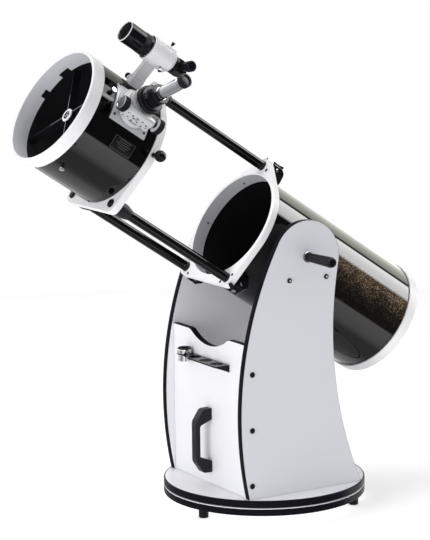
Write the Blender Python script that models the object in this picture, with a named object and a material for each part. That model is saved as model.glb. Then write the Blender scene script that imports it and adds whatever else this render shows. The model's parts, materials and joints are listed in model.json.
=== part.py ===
"""Dobsonian reflecting telescope with a sliding three-rod truss, on a rocker box.

Frame: +Z up, -Y the way the open end of the tube points, +X the side with the
tension handle. The origin is the centre of the ground board's underside.
Lengths are in metres, angles in degrees.
"""
import math

import bmesh
import bpy
from mathutils import Matrix, Vector
from mathutils.geometry import tessellate_polygon

GAP = 0.0003                 # running gap between pieces that touch
LIP = 0.001                  # how far a cutting tool runs past a face

# Base boards
GROUND_R = 0.2552
GROUND_T = 0.017
BOARD_GAP = 0.0045
AZIMUTH_T = 0.017
FOOT_DROP = 0.022
FOOT_R = 0.0125
FOOT_CIRCLE_R = 0.235
FOOT_ANGLES = (-72.0, 40.0, 164.0)
PIVOT_BOLT_R = 0.005

# Rocker box
PANEL_OUT = 0.190
PANEL_T = 0.018
HEAD_R = 0.0943
HEAD_Y = 0.0075
HEAD_Z = 0.6195
FRONT_BULGE_Y = -0.185
FRONT_BULGE_Z = 0.235
REAR_R = 0.95
REAR_Z = 0.430
FRONT_BOARD_Y = -0.160
FRONT_BOARD_T = 0.016
FRONT_BOARD_TOP = 0.420
DIP_HALF = 0.090
DIP_DEPTH = 0.029

# Tube
ALTITUDE = 33.5
PIVOT_Y = 0.009
PIVOT_Z = 0.623
TUBE_R = 0.145
TUBE_WALL = 0.0015
RING_R = 0.149
BORE_R = 0.1395
LOWER_FRONT = 0.120
UPPER_REAR = 0.478
UPPER_FRONT = 0.496
RING_T = 0.018
REAR_END = -0.402
FRONT_END = 0.707
ROD_CIRCLE_R = 0.1655
ROD_R = 0.0125
ROD_ANGLES = (0.0, 145.0, -145.0)
EAR_R = 0.0215
BEARING_R = 0.0604
BUSH_R = 0.015
BUSH_OFFSET = 0.0535

# Optics
MIRROR_R = 0.127
FOCAL_LENGTH = 1.200
SPIDER_S = 0.6505
SPIDER_TURN = 146.0
FOCUS_S = 0.5806
FOCUS_ANGLE = 60.2
DRAW_R = 0.029
SHAFT_T = 0.0335
SHAFT_H = 0.183
FINDER_ANGLE = 22.0
FINDER_H = 0.242
FINDER_FOOT_S = 0.574
FINDER_SCREW_S = 0.5600
FINDER_SCREW_ANGLES = (28.0, 148.0)

MATERIALS = {
    "board_white": ((0.78, 0.78, 0.80), 0.0, 0.45),
    "panel_grey": ((0.66, 0.66, 0.70), 0.0, 0.45),
    "white_coat": ((0.85, 0.85, 0.85), 0.0, 0.40),
    "black_tube": ((0.02, 0.02, 0.02), 0.2, 0.20),
    "black_rod": ((0.02, 0.02, 0.02), 0.3, 0.30),
    "black_plastic": ((0.025, 0.025, 0.03), 0.0, 0.50),
    "nylon": ((0.80, 0.80, 0.76), 0.0, 0.45),
    "rubber": ((0.03, 0.03, 0.03), 0.0, 0.80),
    "chrome": ((0.80, 0.80, 0.80), 1.0, 0.12),
    "steel": ((0.55, 0.55, 0.56), 1.0, 0.35),
    "mirror_glass": ((0.92, 0.93, 0.94), 1.0, 0.02),
}


# ---------------------------------------------------------------- mesh tools

def circle(radius, count, centre=(0.0, 0.0), turn=0.0):
    """Corner points of a circle in a plane."""
    return [(centre[0] + radius * math.cos(turn + 2 * math.pi * i / count),
             centre[1] + radius * math.sin(turn + 2 * math.pi * i / count))
            for i in range(count)]


def arc(centre, radius, start, stop, steps):
    """Points on an arc, angles in degrees, both ends included."""
    angles = [math.radians(start + (stop - start) * i / steps) for i in range(steps + 1)]
    return [(centre[0] + radius * math.cos(a), centre[1] + radius * math.sin(a)) for a in angles]


def finish(shape):
    """Merge coincident points and turn every face outwards."""
    bmesh.ops.remove_doubles(shape, verts=shape.verts, dist=1e-6)
    bmesh.ops.recalc_face_normals(shape, faces=shape.faces)
    return shape


def lathe(profile, segments):
    """Turn a closed (radius, height) outline about Z; points on the axis become poles."""
    shape = bmesh.new()
    rings = []
    for radius, height in profile:
        if radius == 0.0:
            rings.append([shape.verts.new((0.0, 0.0, height))])
        else:
            rings.append([shape.verts.new((x, y, height)) for x, y in circle(radius, segments)])
    for i, ring in enumerate(rings):
        following = rings[(i + 1) % len(rings)]
        for j in range(segments):
            corners = [ring[j % len(ring)], ring[(j + 1) % len(ring)],
                       following[(j + 1) % len(following)], following[j % len(following)]]
            unique = list(dict.fromkeys(corners))
            if len(unique) > 2:
                shape.faces.new(unique)
    return finish(shape)


def prism(outline, low, high, holes=()):
    """Straight solid between two heights, with straight holes through it."""
    loops = [list(outline)] + [list(hole) for hole in holes]
    flat = [point for loop in loops for point in loop]
    triangles = tessellate_polygon([[Vector((x, y, 0.0)) for x, y in loop] for loop in loops])
    shape = bmesh.new()
    bottom = [shape.verts.new((x, y, low)) for x, y in flat]
    top = [shape.verts.new((x, y, high)) for x, y in flat]
    for a, b, c in triangles:
        shape.faces.new((bottom[a], bottom[b], bottom[c]))
        shape.faces.new((top[a], top[b], top[c]))
    first = 0
    for loop in loops:
        count = len(loop)
        for i in range(count):
            a = first + i
            b = first + (i + 1) % count
            shape.faces.new((bottom[a], bottom[b], top[b], top[a]))
        first += count
    return finish(shape)


def box(low, high):
    """Box between two corners."""
    outline = [(low[0], low[1]), (high[0], low[1]), (high[0], high[1]), (low[0], high[1])]
    return prism(outline, low[2], high[2])


def rod(radius, low, high, segments=16):
    """Solid cylinder along Z."""
    return lathe([(0.0, low), (radius, low), (radius, high), (0.0, high)], segments)


def tube(inner, outer, low, high, segments):
    """Open cylinder along Z."""
    return lathe([(inner, low), (outer, low), (outer, high), (inner, high)], segments)


def moved(shape, matrix):
    """The same shape, placed elsewhere in its own frame."""
    shape.transform(matrix)
    return shape


def combine(base, tool, operation):
    """Boolean of two closed shapes; both are used up."""
    pair = []
    for shape in (base, tool):
        mesh = bpy.data.meshes.new("work")
        shape.to_mesh(mesh)
        shape.free()
        item = bpy.data.objects.new("work", mesh)
        bpy.context.scene.collection.objects.link(item)
        pair.append(item)
    modifier = pair[0].modifiers.new("combine", "BOOLEAN")
    modifier.operation = operation
    modifier.solver = "EXACT"
    modifier.object = pair[1]
    depsgraph = bpy.context.evaluated_depsgraph_get()
    mesh = bpy.data.meshes.new_from_object(pair[0].evaluated_get(depsgraph))
    result = bmesh.new()
    result.from_mesh(mesh)
    bpy.data.meshes.remove(mesh)
    for item in pair:
        work = item.data
        bpy.data.objects.remove(item)
        bpy.data.meshes.remove(work)
    return finish(result)


def join(shape, *others):
    """Union of several shapes."""
    for other in others:
        shape = combine(shape, other, "UNION")
    return shape


def cut(shape, *tools):
    """The first shape less all the others."""
    for tool in tools:
        shape = combine(shape, tool, "DIFFERENCE")
    return shape


# ------------------------------------------------------------------- frames

ALONG_X = Matrix.Rotation(math.radians(90.0), 4, "Y")          # local +Z runs to +X
TUBE_TURN = Matrix.Rotation(math.radians(90.0 - ALTITUDE), 4, "X")
CYCLE = Matrix(((0, 0, 1, 0), (1, 0, 0, 0), (0, 1, 0, 0), (0, 0, 0, 1)))
SIDEWAYS = Matrix(((1, 0, 0, 0), (0, 0, -1, 0), (0, 1, 0, 0), (0, 0, 0, 1)))


def on_tube(angle, along):
    """Frame on the tube: X along the axis, Y round it, Z outwards, at an angle from the top."""
    turn = math.radians(angle)
    outward = Vector((math.sin(turn), math.cos(turn), 0.0))
    around = Vector((math.cos(turn), -math.sin(turn), 0.0))
    frame = Matrix((Vector((0, 0, 1)), around, outward)).transposed().to_4x4()
    return Matrix.Translation((0.0, 0.0, along)) @ frame


def rod_place(angle, along):
    """Frame parallel to the optical axis on the truss circle."""
    turn = math.radians(angle)
    return Matrix.Translation((ROD_CIRCLE_R * math.sin(turn), ROD_CIRCLE_R * math.cos(turn), along))


# ------------------------------------------------------------------ objects

def make_material(name):
    colour, metallic, roughness = MATERIALS[name]
    material = bpy.data.materials.new(name)
    material.use_nodes = True
    shader = material.node_tree.nodes["Principled BSDF"]
    shader.inputs["Base Color"].default_value = (*colour, 1.0)
    shader.inputs["Metallic"].default_value = metallic
    shader.inputs["Roughness"].default_value = roughness
    material.diffuse_color = (*colour, 1.0)
    return material


def add(name, shape, place, material, parent=None, smooth=True):
    """Turn a shape into a named object."""
    mesh = bpy.data.meshes.new(name)
    shape.to_mesh(mesh)
    shape.free()
    if smooth:
        mesh.shade_smooth()
        mesh.set_sharp_from_angle(angle=math.radians(35.0))
    item = bpy.data.objects.new(name, mesh)
    bpy.context.scene.collection.objects.link(item)
    if material not in bpy.data.materials:
        make_material(material)
    mesh.materials.append(bpy.data.materials[material])
    item.parent = parent
    item.matrix_basis = place
    return item


for old in list(bpy.data.objects):
    bpy.data.objects.remove(old)

# -------------------------------------------------------------- ground parts

EDGE = 0.003                 # rounding of the boards' edge trim
BOLT_CLEAR_R = PIVOT_BOLT_R + GAP
HEAD_RECESS_R = 0.0125
HEAD_RECESS_H = 0.006


def round_board(thickness, recess):
    """Round board with a rounded rim and a centre hole, opened out below for the bolt's head."""
    rim = [(GROUND_R - EDGE, 0.0), (GROUND_R, EDGE), (GROUND_R, thickness - EDGE),
           (GROUND_R - EDGE, thickness), (BOLT_CLEAR_R, thickness)]
    if recess:
        rim += [(BOLT_CLEAR_R, HEAD_RECESS_H + GAP), (HEAD_RECESS_R + GAP, HEAD_RECESS_H + GAP),
                (HEAD_RECESS_R + GAP, 0.0)]
    else:
        rim += [(BOLT_CLEAR_R, 0.0)]
    return lathe(rim, 48)


AZIMUTH_Z = GROUND_T + BOARD_GAP
TOP_Z = AZIMUTH_Z + AZIMUTH_T
add("ground_board", round_board(GROUND_T, True), Matrix(), "board_white")
add("azimuth_board", round_board(AZIMUTH_T, False), Matrix.Translation((0, 0, AZIMUTH_Z)), "board_white")
add("azimuth_bearing", tube(0.080, 0.205, GAP, BOARD_GAP - GAP, 32),
    Matrix.Translation((0, 0, GROUND_T)), "nylon")

NUT_R = 0.0095
NUT_H = 0.009
bolt = [(0.0, 0.0), (HEAD_RECESS_R, 0.0), (HEAD_RECESS_R, HEAD_RECESS_H),
        (PIVOT_BOLT_R, HEAD_RECESS_H), (PIVOT_BOLT_R, TOP_Z + GAP), (NUT_R, TOP_Z + GAP),
        (NUT_R, TOP_Z + NUT_H), (0.0, TOP_Z + NUT_H)]
add("pivot_bolt", lathe(bolt, 16), Matrix(), "steel")

for number, turn in enumerate(FOOT_ANGLES, 1):
    spot = Matrix.Rotation(math.radians(turn), 4, "Z") @ Matrix.Translation((FOOT_CIRCLE_R, 0, 0))
    pad = [(0.0, -FOOT_DROP), (FOOT_R - 0.0015, -FOOT_DROP), (FOOT_R - 0.0005, -FOOT_DROP + 0.001),
           (FOOT_R, -GAP), (0.0, -GAP)]
    add(f"foot_{number}", lathe(pad, 16), spot, "rubber")

# -------------------------------------------------------------- side panels

PANEL_IN = PANEL_OUT - PANEL_T
PANEL_Z = TOP_Z + GAP
BUSH_BOLT_R = 0.003
HANDLE_HOLE_R = 0.007


def panel_outline():
    """Side panel in (Y, Z): convex front arc and concave rear arc, both tangent to a round head."""
    head_run = HEAD_Y - FRONT_BULGE_Y
    head_rise = HEAD_Z - FRONT_BULGE_Z
    front_r = (head_run ** 2 + head_rise ** 2 - HEAD_R ** 2) / (2 * (head_run - HEAD_R))
    front_y = FRONT_BULGE_Y + front_r
    rear_y = HEAD_Y + math.sqrt((REAR_R + HEAD_R) ** 2 - (HEAD_Z - REAR_Z) ** 2)
    front_low = 180 + math.degrees(math.asin((FRONT_BULGE_Z - PANEL_Z) / front_r))
    front_high = 180 - math.degrees(math.atan2(head_rise, front_y - HEAD_Y))
    rear_low = 180 + math.degrees(math.asin((REAR_Z - PANEL_Z) / REAR_R))
    rear_high = 180 - math.degrees(math.atan2(HEAD_Z - REAR_Z, rear_y - HEAD_Y))
    head_end = rear_high - 180
    points = arc((front_y, FRONT_BULGE_Z), front_r, front_low, front_high, 16)
    points += arc((HEAD_Y, HEAD_Z), HEAD_R, front_high, head_end, 18)[1:]
    points += arc((rear_y, REAR_Z), REAR_R, rear_high, rear_low, 12)[1:]
    return points


def panel_holes():
    """Holes in (Y, Z): tension handle, then the two bush bolts."""
    low = PIVOT_Z - BUSH_OFFSET
    return [circle(HANDLE_HOLE_R, 16, (PIVOT_Y, PIVOT_Z)),
            circle(BUSH_BOLT_R + GAP, 12, (PIVOT_Y - BUSH_OFFSET, low)),
            circle(BUSH_BOLT_R + GAP, 12, (PIVOT_Y + BUSH_OFFSET, low))]


for side, sign in (("right", 1), ("left", -1)):
    near = min(sign * PANEL_IN, sign * PANEL_OUT)
    panel = moved(prism(panel_outline(), near, near + PANEL_T, panel_holes()), CYCLE)
    add(f"side_panel_{side}", panel, Matrix(), "panel_grey")
    for end, step in (("front", -1), ("rear", 1)):
        spot = Matrix.Translation((0, PIVOT_Y + step * BUSH_OFFSET, PIVOT_Z - BUSH_OFFSET))
        if sign < 0:
            spot = spot @ Matrix.Rotation(math.pi, 4, "Z")
        bush = [(0.0, 0.158), (BUSH_R, 0.158), (BUSH_R, PANEL_IN - GAP),
                (BUSH_BOLT_R, PANEL_IN - GAP), (BUSH_BOLT_R, PANEL_OUT + GAP),
                (0.0055, PANEL_OUT + GAP), (0.005, PANEL_OUT + 0.0033), (0.0, PANEL_OUT + 0.0033)]
        add(f"bearing_bush_{side}_{end}", moved(lathe(bush, 16), ALONG_X), spot, "nylon")

# -------------------------------------------------------------- front board


def front_outline():
    """Front board in (X, Z) with a round dip in its top edge."""
    half = PANEL_IN - GAP
    dip_r = (DIP_HALF ** 2 + DIP_DEPTH ** 2) / (2 * DIP_DEPTH)
    swing = math.degrees(math.asin(DIP_HALF / dip_r))
    centre = (0.0, FRONT_BOARD_TOP - DIP_DEPTH + dip_r)
    top = arc(centre, dip_r, -90 + swing, -90 - swing, 14)
    return [(-half, PANEL_Z), (half, PANEL_Z), (half, FRONT_BOARD_TOP)] + top + [(-half, FRONT_BOARD_TOP)]


front = moved(prism(front_outline(), 0.0, FRONT_BOARD_T), SIDEWAYS)
add("front_board", front, Matrix.Translation((0, FRONT_BOARD_Y + FRONT_BOARD_T, 0)), "board_white")

HANDLE_Z = 0.1512
HANDLE_HALF_W = 0.0115
grip = [(0.0, 0.0815), (-0.0235, 0.0808), (-0.0447, 0.0490)]
inside = [(0.0, 0.0530), (-0.0340, 0.0390)]
outline = grip + [(y, -z) for y, z in reversed(grip)] + [(y, -z) for y, z in inside]
outline += list(reversed(inside))
handle = moved(prism(outline, -HANDLE_HALF_W, HANDLE_HALF_W), CYCLE)
add("carry_handle", handle, Matrix.Translation((0, FRONT_BOARD_Y - GAP, HANDLE_Z)), "black_plastic")

# ------------------------------------------------------------ eyepiece tray

TRAY_RIGHT = 0.0975
TRAY_STEP_X = -0.030         # the front lip starts here; left of it the tray narrows to a tab
TRAY_TOP = 0.3585
TRAY_DEPTH = 0.040
TRAY_T = 0.0015
TRAY_LIP = 0.004
TRAY_FLANGE = 0.0186
TRAY_HOLE_Y = -0.0195
TRAY_HOLES = (-0.086, -0.034, 0.018, 0.070)
TRAY_HOLE_R = 0.0163
TAB_R = 0.0192

tab_x = TRAY_HOLES[0]
shelf = [(TRAY_RIGHT, 0.0), (tab_x - TAB_R, 0.0)]
shelf += arc((tab_x, TRAY_HOLE_Y), TAB_R, 180, 300, 12)
shelf += [(TRAY_STEP_X, -TRAY_DEPTH), (TRAY_RIGHT, -TRAY_DEPTH)]
tray = prism(shelf, -TRAY_T, 0.0)
flange = box((tab_x - TAB_R, -TRAY_T, -TRAY_FLANGE), (TRAY_RIGHT, 0.0, -TRAY_T / 2))
lip = box((TRAY_STEP_X + 0.0005, -TRAY_DEPTH + 0.0001, -TRAY_LIP),
          (TRAY_RIGHT - TRAY_T / 4, -TRAY_DEPTH + TRAY_T, -TRAY_T / 2))
gusset = [(-TRAY_T / 2, -TRAY_T / 2), (-TRAY_DEPTH + TRAY_T / 2, -TRAY_T / 2),
          (-TRAY_DEPTH + TRAY_T / 2, -TRAY_LIP + 0.0003), (-TRAY_T / 2, -TRAY_FLANGE + 0.0005)]
end_plate = moved(prism(gusset, TRAY_RIGHT - TRAY_T, TRAY_RIGHT - TRAY_T / 4), CYCLE)
tray = join(tray, flange, lip, end_plate)
for spot_x in TRAY_HOLES:
    drill = moved(rod(TRAY_HOLE_R, -0.0017, 0.004, 20), Matrix.Translation((spot_x, TRAY_HOLE_Y, 0)))
    tray = cut(tray, drill)
add("eyepiece_tray", tray, Matrix.Translation((0, FRONT_BOARD_Y - GAP, TRAY_TOP)), "black_plastic")

BARREL_2IN_R = 0.0254
BARREL_1IN_R = 0.0158
SPARE_BORE_R = 0.0140
spare = [(SPARE_BORE_R, -0.019), (BARREL_1IN_R - LIP, -0.019), (BARREL_1IN_R, -0.018),
         (BARREL_1IN_R, GAP), (0.0186, GAP), (0.0186, 0.0105), (0.0165, 0.0115),
         (0.0165, 0.0140), (0.0155, 0.0150), (SPARE_BORE_R, 0.0150)]
thumb = lathe([(0.0, 0.0170), (0.0015, 0.0170), (0.0015, 0.024), (0.0022, 0.024), (0.0022, 0.034),
               (0.0, 0.034)], 12)
thumb = moved(thumb, Matrix.Translation((0, 0, 0.006)) @ Matrix.Rotation(math.radians(-90), 4, "Y"))
spare = join(lathe(spare, 24), thumb)
spot = Matrix.Translation((TRAY_HOLES[0], FRONT_BOARD_Y - GAP + TRAY_HOLE_Y, TRAY_TOP))
add("spare_adapter", spare, spot, "chrome")

# -------------------------------------------------------------- tube frame

pivot = bpy.data.objects.new("tube_pivot", None)
pivot.location = (0.0, PIVOT_Y, PIVOT_Z)
pivot.rotation_euler = (math.radians(90.0 - ALTITUDE), 0.0, 0.0)
bpy.context.scene.collection.objects.link(pivot)

INNER_R = TUBE_R - TUBE_WALL
LOWER_REAR = LOWER_FRONT - RING_T
ROUND = 40


def turn_sense(a, b, c):
    """Positive when the path a, b, c turns left."""
    return (b[0] - a[0]) * (c[1] - a[1]) - (b[1] - a[1]) * (c[0] - a[0])


def half_hull(run):
    """One side of the band drawn tight round sorted points."""
    kept = []
    for point in run:
        while len(kept) > 1 and turn_sense(kept[-2], kept[-1], point) <= 1e-12:
            kept.pop()
        kept.append(point)
    return kept[:-1]


def tight_band(points):
    """Convex outline round a set of points, anticlockwise."""
    ordered = sorted(set(points))
    return half_hull(ordered) + half_hull(ordered[::-1])


def rod_centres():
    turns = [math.radians(angle) for angle in ROD_ANGLES]
    return [(ROD_CIRCLE_R * math.sin(turn), ROD_CIRCLE_R * math.cos(turn)) for turn in turns]


def ring_plate(low, high, hole_r, rod_holes):
    """Flat ring with three ears: its outline is a band drawn tight round four circles."""
    cloud = circle(RING_R, ROUND)
    for centre in rod_centres():
        cloud += circle(EAR_R, 20, centre)
    holes = [circle(hole_r, ROUND)]
    if rod_holes:
        holes += [circle(ROD_R + GAP, 16, centre) for centre in rod_centres()]
    return prism(tight_band(cloud), low, high, holes)


SLEEVE_R = INNER_R - GAP
PLATE_BORE_R = BORE_R + 0.005
lower = ring_plate(LOWER_REAR, LOWER_FRONT - LIP, PLATE_BORE_R, True)
collar = lathe([(BORE_R, 0.084), (SLEEVE_R, 0.084), (SLEEVE_R, LOWER_REAR - GAP),
                (SLEEVE_R + 0.003, LOWER_REAR + GAP), (SLEEVE_R + 0.003, LOWER_FRONT - LIP / 2),
                (SLEEVE_R + 0.002, LOWER_FRONT), (BORE_R + LIP, LOWER_FRONT),
                (BORE_R, LOWER_FRONT - LIP)], ROUND)
add("lower_ring", join(lower, collar), Matrix(), "white_coat", pivot)

KNOB_ANGLE = 88.0
KNOB_S = 0.487
upper = ring_plate(UPPER_REAR, UPPER_FRONT, PLATE_BORE_R, False)
collar = lathe([(BORE_R, UPPER_REAR - LIP), (SLEEVE_R + 0.003, UPPER_REAR - LIP),
                (SLEEVE_R + 0.003, UPPER_FRONT - GAP), (SLEEVE_R, UPPER_FRONT + GAP),
                (SLEEVE_R, 0.512), (BORE_R, 0.512)], ROUND)
upper = join(upper, collar)
drill = moved(rod(0.0033, 0.1435, 0.160, 10), on_tube(KNOB_ANGLE, KNOB_S))
add("upper_ring", cut(upper, drill), Matrix(), "white_coat", pivot)

BALL_R = 0.0145
BALL_H = 0.1805
ball = [(0.0, 0.1438), (0.003, 0.1438), (0.003, RING_R + GAP), (0.0065, RING_R + GAP), (0.0065, 0.160)]
ball += [(BALL_R * math.sin(math.radians(a)), BALL_H - BALL_R * math.cos(math.radians(a)))
         for a in range(30, 180, 25)] + [(0.0, BALL_H + BALL_R)]
add("ball_knob", lathe(ball, 16), on_tube(KNOB_ANGLE, KNOB_S), "black_plastic", pivot)

# ------------------------------------------------------------- tube bodies

lower_tube = tube(INNER_R, TUBE_R, -0.396, LOWER_REAR - GAP, ROUND)
add("lower_tube", lower_tube, Matrix(), "black_tube", pivot)

STUD_R = 0.0018
STUD_S = SPIDER_S - 0.0025
upper_tube = tube(INNER_R, TUBE_R, UPPER_FRONT + GAP, FRONT_END - 0.0073, ROUND)
for turn in range(4):
    drill = moved(rod(STUD_R + GAP, 0.135, 0.155, 12), on_tube(SPIDER_TURN + 90.0 * turn, STUD_S))
    upper_tube = cut(upper_tube, drill)
opening = moved(rod(DRAW_R + 0.0025, 0.10, 0.16, 28), on_tube(FOCUS_ANGLE, FOCUS_S))
add("upper_tube", cut(upper_tube, opening), Matrix(), "black_tube", pivot)

WELL_IN = SLEEVE_R
WELL_OUT = TUBE_R + GAP
WELL_END = FRONT_END - 0.007
front_ring = [(BORE_R + LIP, 0.6635), (WELL_IN, 0.6635), (WELL_IN, WELL_END), (WELL_OUT, WELL_END),
              (WELL_OUT, 0.674), (RING_R, 0.674), (RING_R, FRONT_END - 0.002),
              (RING_R - 0.002, FRONT_END), (BORE_R + 0.003, FRONT_END),
              (BORE_R + LIP, FRONT_END - 0.002)]
add("front_ring", lathe(front_ring, ROUND), Matrix(), "white_coat", pivot)

# Rear ring: a channel over the tube's edge, with a three-arm frame across the back.
# The floating cell sits in front of the frame and carries the mirror on three clips.
FRAME_LOW = -0.400
FRAME_HIGH = -0.394
CELL_LOW = -0.388
CELL_HIGH = -0.3815
MIRROR_BACK = CELL_HIGH + GAP
MIRROR_RIM = -0.3545
KNOB_CIRCLE_R = 0.092
KNOB_TURNS = (0.0, 120.0, 240.0)


def turned(degrees):
    return Matrix.Rotation(math.radians(degrees), 4, "Z")


rear_ring = [(0.132, REAR_END), (RING_R - 0.002, REAR_END), (RING_R, REAR_END + 0.002),
             (RING_R, -0.375), (WELL_OUT, -0.375), (WELL_OUT, -0.3963), (WELL_IN, -0.3963),
             (WELL_IN, -0.390), (0.138, -0.390), (0.132, FRAME_HIGH + 0.0005)]
rear = join(lathe(rear_ring, ROUND), rod(0.034, FRAME_LOW - 0.0005, FRAME_HIGH + 0.0005, 24))
cell = rod(0.104, CELL_LOW, CELL_HIGH, 32)
for turn in KNOB_TURNS:
    rear = join(rear, moved(box((-0.016, 0.0, FRAME_LOW), (0.016, 0.136, FRAME_HIGH)), turned(turn)))
    arm = box((-0.008, 0.09, CELL_LOW + 0.0005), (0.008, 0.1355, CELL_HIGH - 0.0005))
    clip = box((-0.007, MIRROR_R + GAP, CELL_LOW + 0.001), (0.007, 0.1350, MIRROR_RIM + 0.0040))
    hook = box((-0.006, MIRROR_R - 0.005, MIRROR_RIM + GAP), (0.006, 0.1345, MIRROR_RIM + 0.0035))
    cell = join(cell, *[moved(piece, turned(turn + 60)) for piece in (arm, clip, hook)])
for number, turn in enumerate(KNOB_TURNS, 1):
    spot = turned(turn) @ Matrix.Translation((0, KNOB_CIRCLE_R, 0))
    rear = cut(rear, moved(rod(0.0037, FRAME_LOW - 0.01, FRAME_HIGH + 0.01, 12), spot))
    cell = cut(cell, moved(rod(0.0033, CELL_LOW - 0.01, CELL_HIGH + 0.01, 12), spot))
    knob = [(0.0, -0.420), (0.0095, -0.420), (0.011, -0.4185), (0.011, -0.406), (0.0095, -0.4045),
            (0.003, -0.4045), (0.003, -0.3835), (0.0, -0.3835)]
    add(f"collimation_knob_{number}", lathe(knob, 14), spot, "black_plastic", pivot)
add("rear_ring", rear, Matrix(), "white_coat", pivot)
add("mirror_cell", cell, Matrix(), "steel", pivot)

dish = [(radius, MIRROR_RIM - (MIRROR_R ** 2 - radius ** 2) / (4 * FOCAL_LENGTH))
        for radius in (MIRROR_R, 0.096, 0.064, 0.032, 0.0)]
mirror = [(0.0, MIRROR_BACK), (MIRROR_R, MIRROR_BACK)] + dish
add("primary_mirror", lathe(mirror, 40), Matrix(), "mirror_glass", pivot)

# -------------------------------------------------------- altitude bearings

FLANGE_R = 0.066
FLANGE_END = 0.1555
BEARING_END = PANEL_IN - 0.001
SEAT = TUBE_R + GAP
for side, sign in (("right", 1), ("left", -1)):
    step = [(0.0, 0.120), (FLANGE_R, 0.120), (FLANGE_R, FLANGE_END), (BEARING_R, FLANGE_END),
            (BEARING_R, BEARING_END - 0.0015), (BEARING_R - 0.0015, BEARING_END), (0.0, BEARING_END)]
    bearing = moved(lathe(step, 36), ALONG_X)
    if sign < 0:
        bearing = moved(bearing, turned(180.0))
    bearing = cut(bearing, rod(SEAT, -0.1, 0.1, 80))
    if sign > 0:
        bearing = cut(bearing, moved(rod(0.0053, 0.149, 0.175, 16), ALONG_X))
    add(f"altitude_bearing_{side}", bearing, Matrix(), "black_plastic", pivot)

HANDLE_BASE_R = 0.0105
HANDLE_END_R = 0.013
HANDLE_END_X = 0.299
handle = [(0.0, 0.1495), (0.005, 0.1495), (0.005, PANEL_OUT + GAP), (HANDLE_BASE_R, PANEL_OUT + GAP),
          (HANDLE_BASE_R, 0.196), (HANDLE_END_R, HANDLE_END_X - 0.003),
          (HANDLE_END_R - 0.002, HANDLE_END_X), (0.0, HANDLE_END_X)]
add("tension_handle", moved(lathe(handle, 16), ALONG_X), Matrix(), "black_plastic", pivot)

# -------------------------------------------------------------------- truss

ROD_LOW = 0.0645
ROD_HIGH = UPPER_REAR - LIP - GAP
COLLAR_LOW = 0.439
CLAMP_LOW = 0.066
CLAMP_OUT = 0.1825
CLAMP_HALF = 0.0165
CLAMP_SLOPE = 0.007
LEVER_H = 0.1875
LEVER_T = 0.0035
LEVER_S = 0.092
LEVER_L = 0.030
for name, turn, swing in zip(("top", "right", "left"), ROD_ANGLES, (0.0, 150.0, 0.0)):
    profile = [(0.0, ROD_LOW), (ROD_R - 0.001, ROD_LOW), (ROD_R, ROD_LOW + 0.001), (ROD_R, COLLAR_LOW),
               (ROD_R + 0.0015, COLLAR_LOW), (ROD_R + 0.006, COLLAR_LOW + 0.018),
               (ROD_R + 0.006, ROD_HIGH), (0.0, ROD_HIGH)]
    spot = math.radians(turn)
    centre = (ROD_CIRCLE_R * math.sin(spot), ROD_CIRCLE_R * math.cos(spot), 0.0)
    add(f"truss_rod_{name}", lathe(profile, 16), Matrix.Translation(centre), "black_rod", pivot)
    side = [(CLAMP_LOW + CLAMP_SLOPE, 0.135), (LOWER_REAR - GAP, 0.135), (LOWER_REAR - GAP, CLAMP_OUT),
            (CLAMP_LOW + CLAMP_SLOPE, CLAMP_OUT), (CLAMP_LOW, CLAMP_OUT - CLAMP_SLOPE),
            (CLAMP_LOW, 0.135 + 2 * CLAMP_SLOPE)]
    housing = moved(prism(side, -CLAMP_HALF, CLAMP_HALF), SIDEWAYS)
    bore = moved(rod(ROD_R + GAP, -0.01, 0.14), Matrix.Translation((0, 0, ROD_CIRCLE_R)) @ ALONG_X)
    saddle = moved(rod(SEAT, -0.01, 0.14, 80), ALONG_X)
    pin_hole = moved(rod(0.0033, 0.1795, 0.195, 12), Matrix.Translation((LEVER_S, 0, 0)))
    add(f"rod_clamp_{name}", cut(housing, saddle, bore, pin_hole), on_tube(turn, 0.0),
        "black_plastic", pivot)
    post = lathe([(0.0, 0.1800), (0.003, 0.1800), (0.003, 0.1865), (0.0050, 0.1865), (0.0050, 0.1925),
                  (0.0035, 0.1937), (0.0, 0.1937)], 12)
    arm = [(0.0, -0.0042), (0.003 - LEVER_L, -0.0052), (-LEVER_L, -0.003), (-LEVER_L, 0.003),
           (0.003 - LEVER_L, 0.0052), (0.0, 0.0042)]
    lever = join(post, prism(arm, LEVER_H, LEVER_H + LEVER_T))
    add(f"clamp_lever_{name}", lever, on_tube(turn, LEVER_S) @ turned(swing), "black_plastic", pivot)

# ------------------------------------------------------- spider and secondary

HUB_R = 0.017
HUB_LOW = SPIDER_S - 0.0185
HUB_HIGH = SPIDER_S + 0.0105
VANE_HALF_T = 0.0005
VANE_END = 0.1426
NUT_HIGH = 0.1570
spider = rod(HUB_R, HUB_LOW, HUB_HIGH, 24)
for turn in (0.0, 90.0):
    vane = box((-VANE_HALF_T, -VANE_END, SPIDER_S - 0.011), (VANE_HALF_T, VANE_END, SPIDER_S + 0.010))
    spider = join(spider, moved(vane, turned(turn)))
for turn in (0.0, 90.0, 180.0, 270.0):
    stud = lathe([(0.0, 0.1415), (STUD_R, 0.1415), (STUD_R, SEAT), (0.0050, SEAT),
                  (0.0050, 0.1490), (0.0070, 0.1500), (0.0070, NUT_HIGH - 0.001), (0.0060, NUT_HIGH),
                  (0.0, NUT_HIGH)], 12)
    spider = join(spider, moved(stud, on_tube(turn, STUD_S)))
add("spider", spider, turned(-SPIDER_TURN), "steel", pivot)


def slanted(radius, low, high, low_slope, high_slope, segments):
    """Cylinder whose ends may slope towards +X."""
    shape = bmesh.new()
    points = circle(radius, segments)
    bottom = [shape.verts.new((x, y, low + low_slope * x)) for x, y in points]
    top = [shape.verts.new((x, y, high + high_slope * x)) for x, y in points]
    shape.faces.new(bottom)
    shape.faces.new(top)
    for i in range(segments):
        j = (i + 1) % segments
        shape.faces.new((bottom[i], bottom[j], top[j], top[i]))
    return finish(shape)


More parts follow.
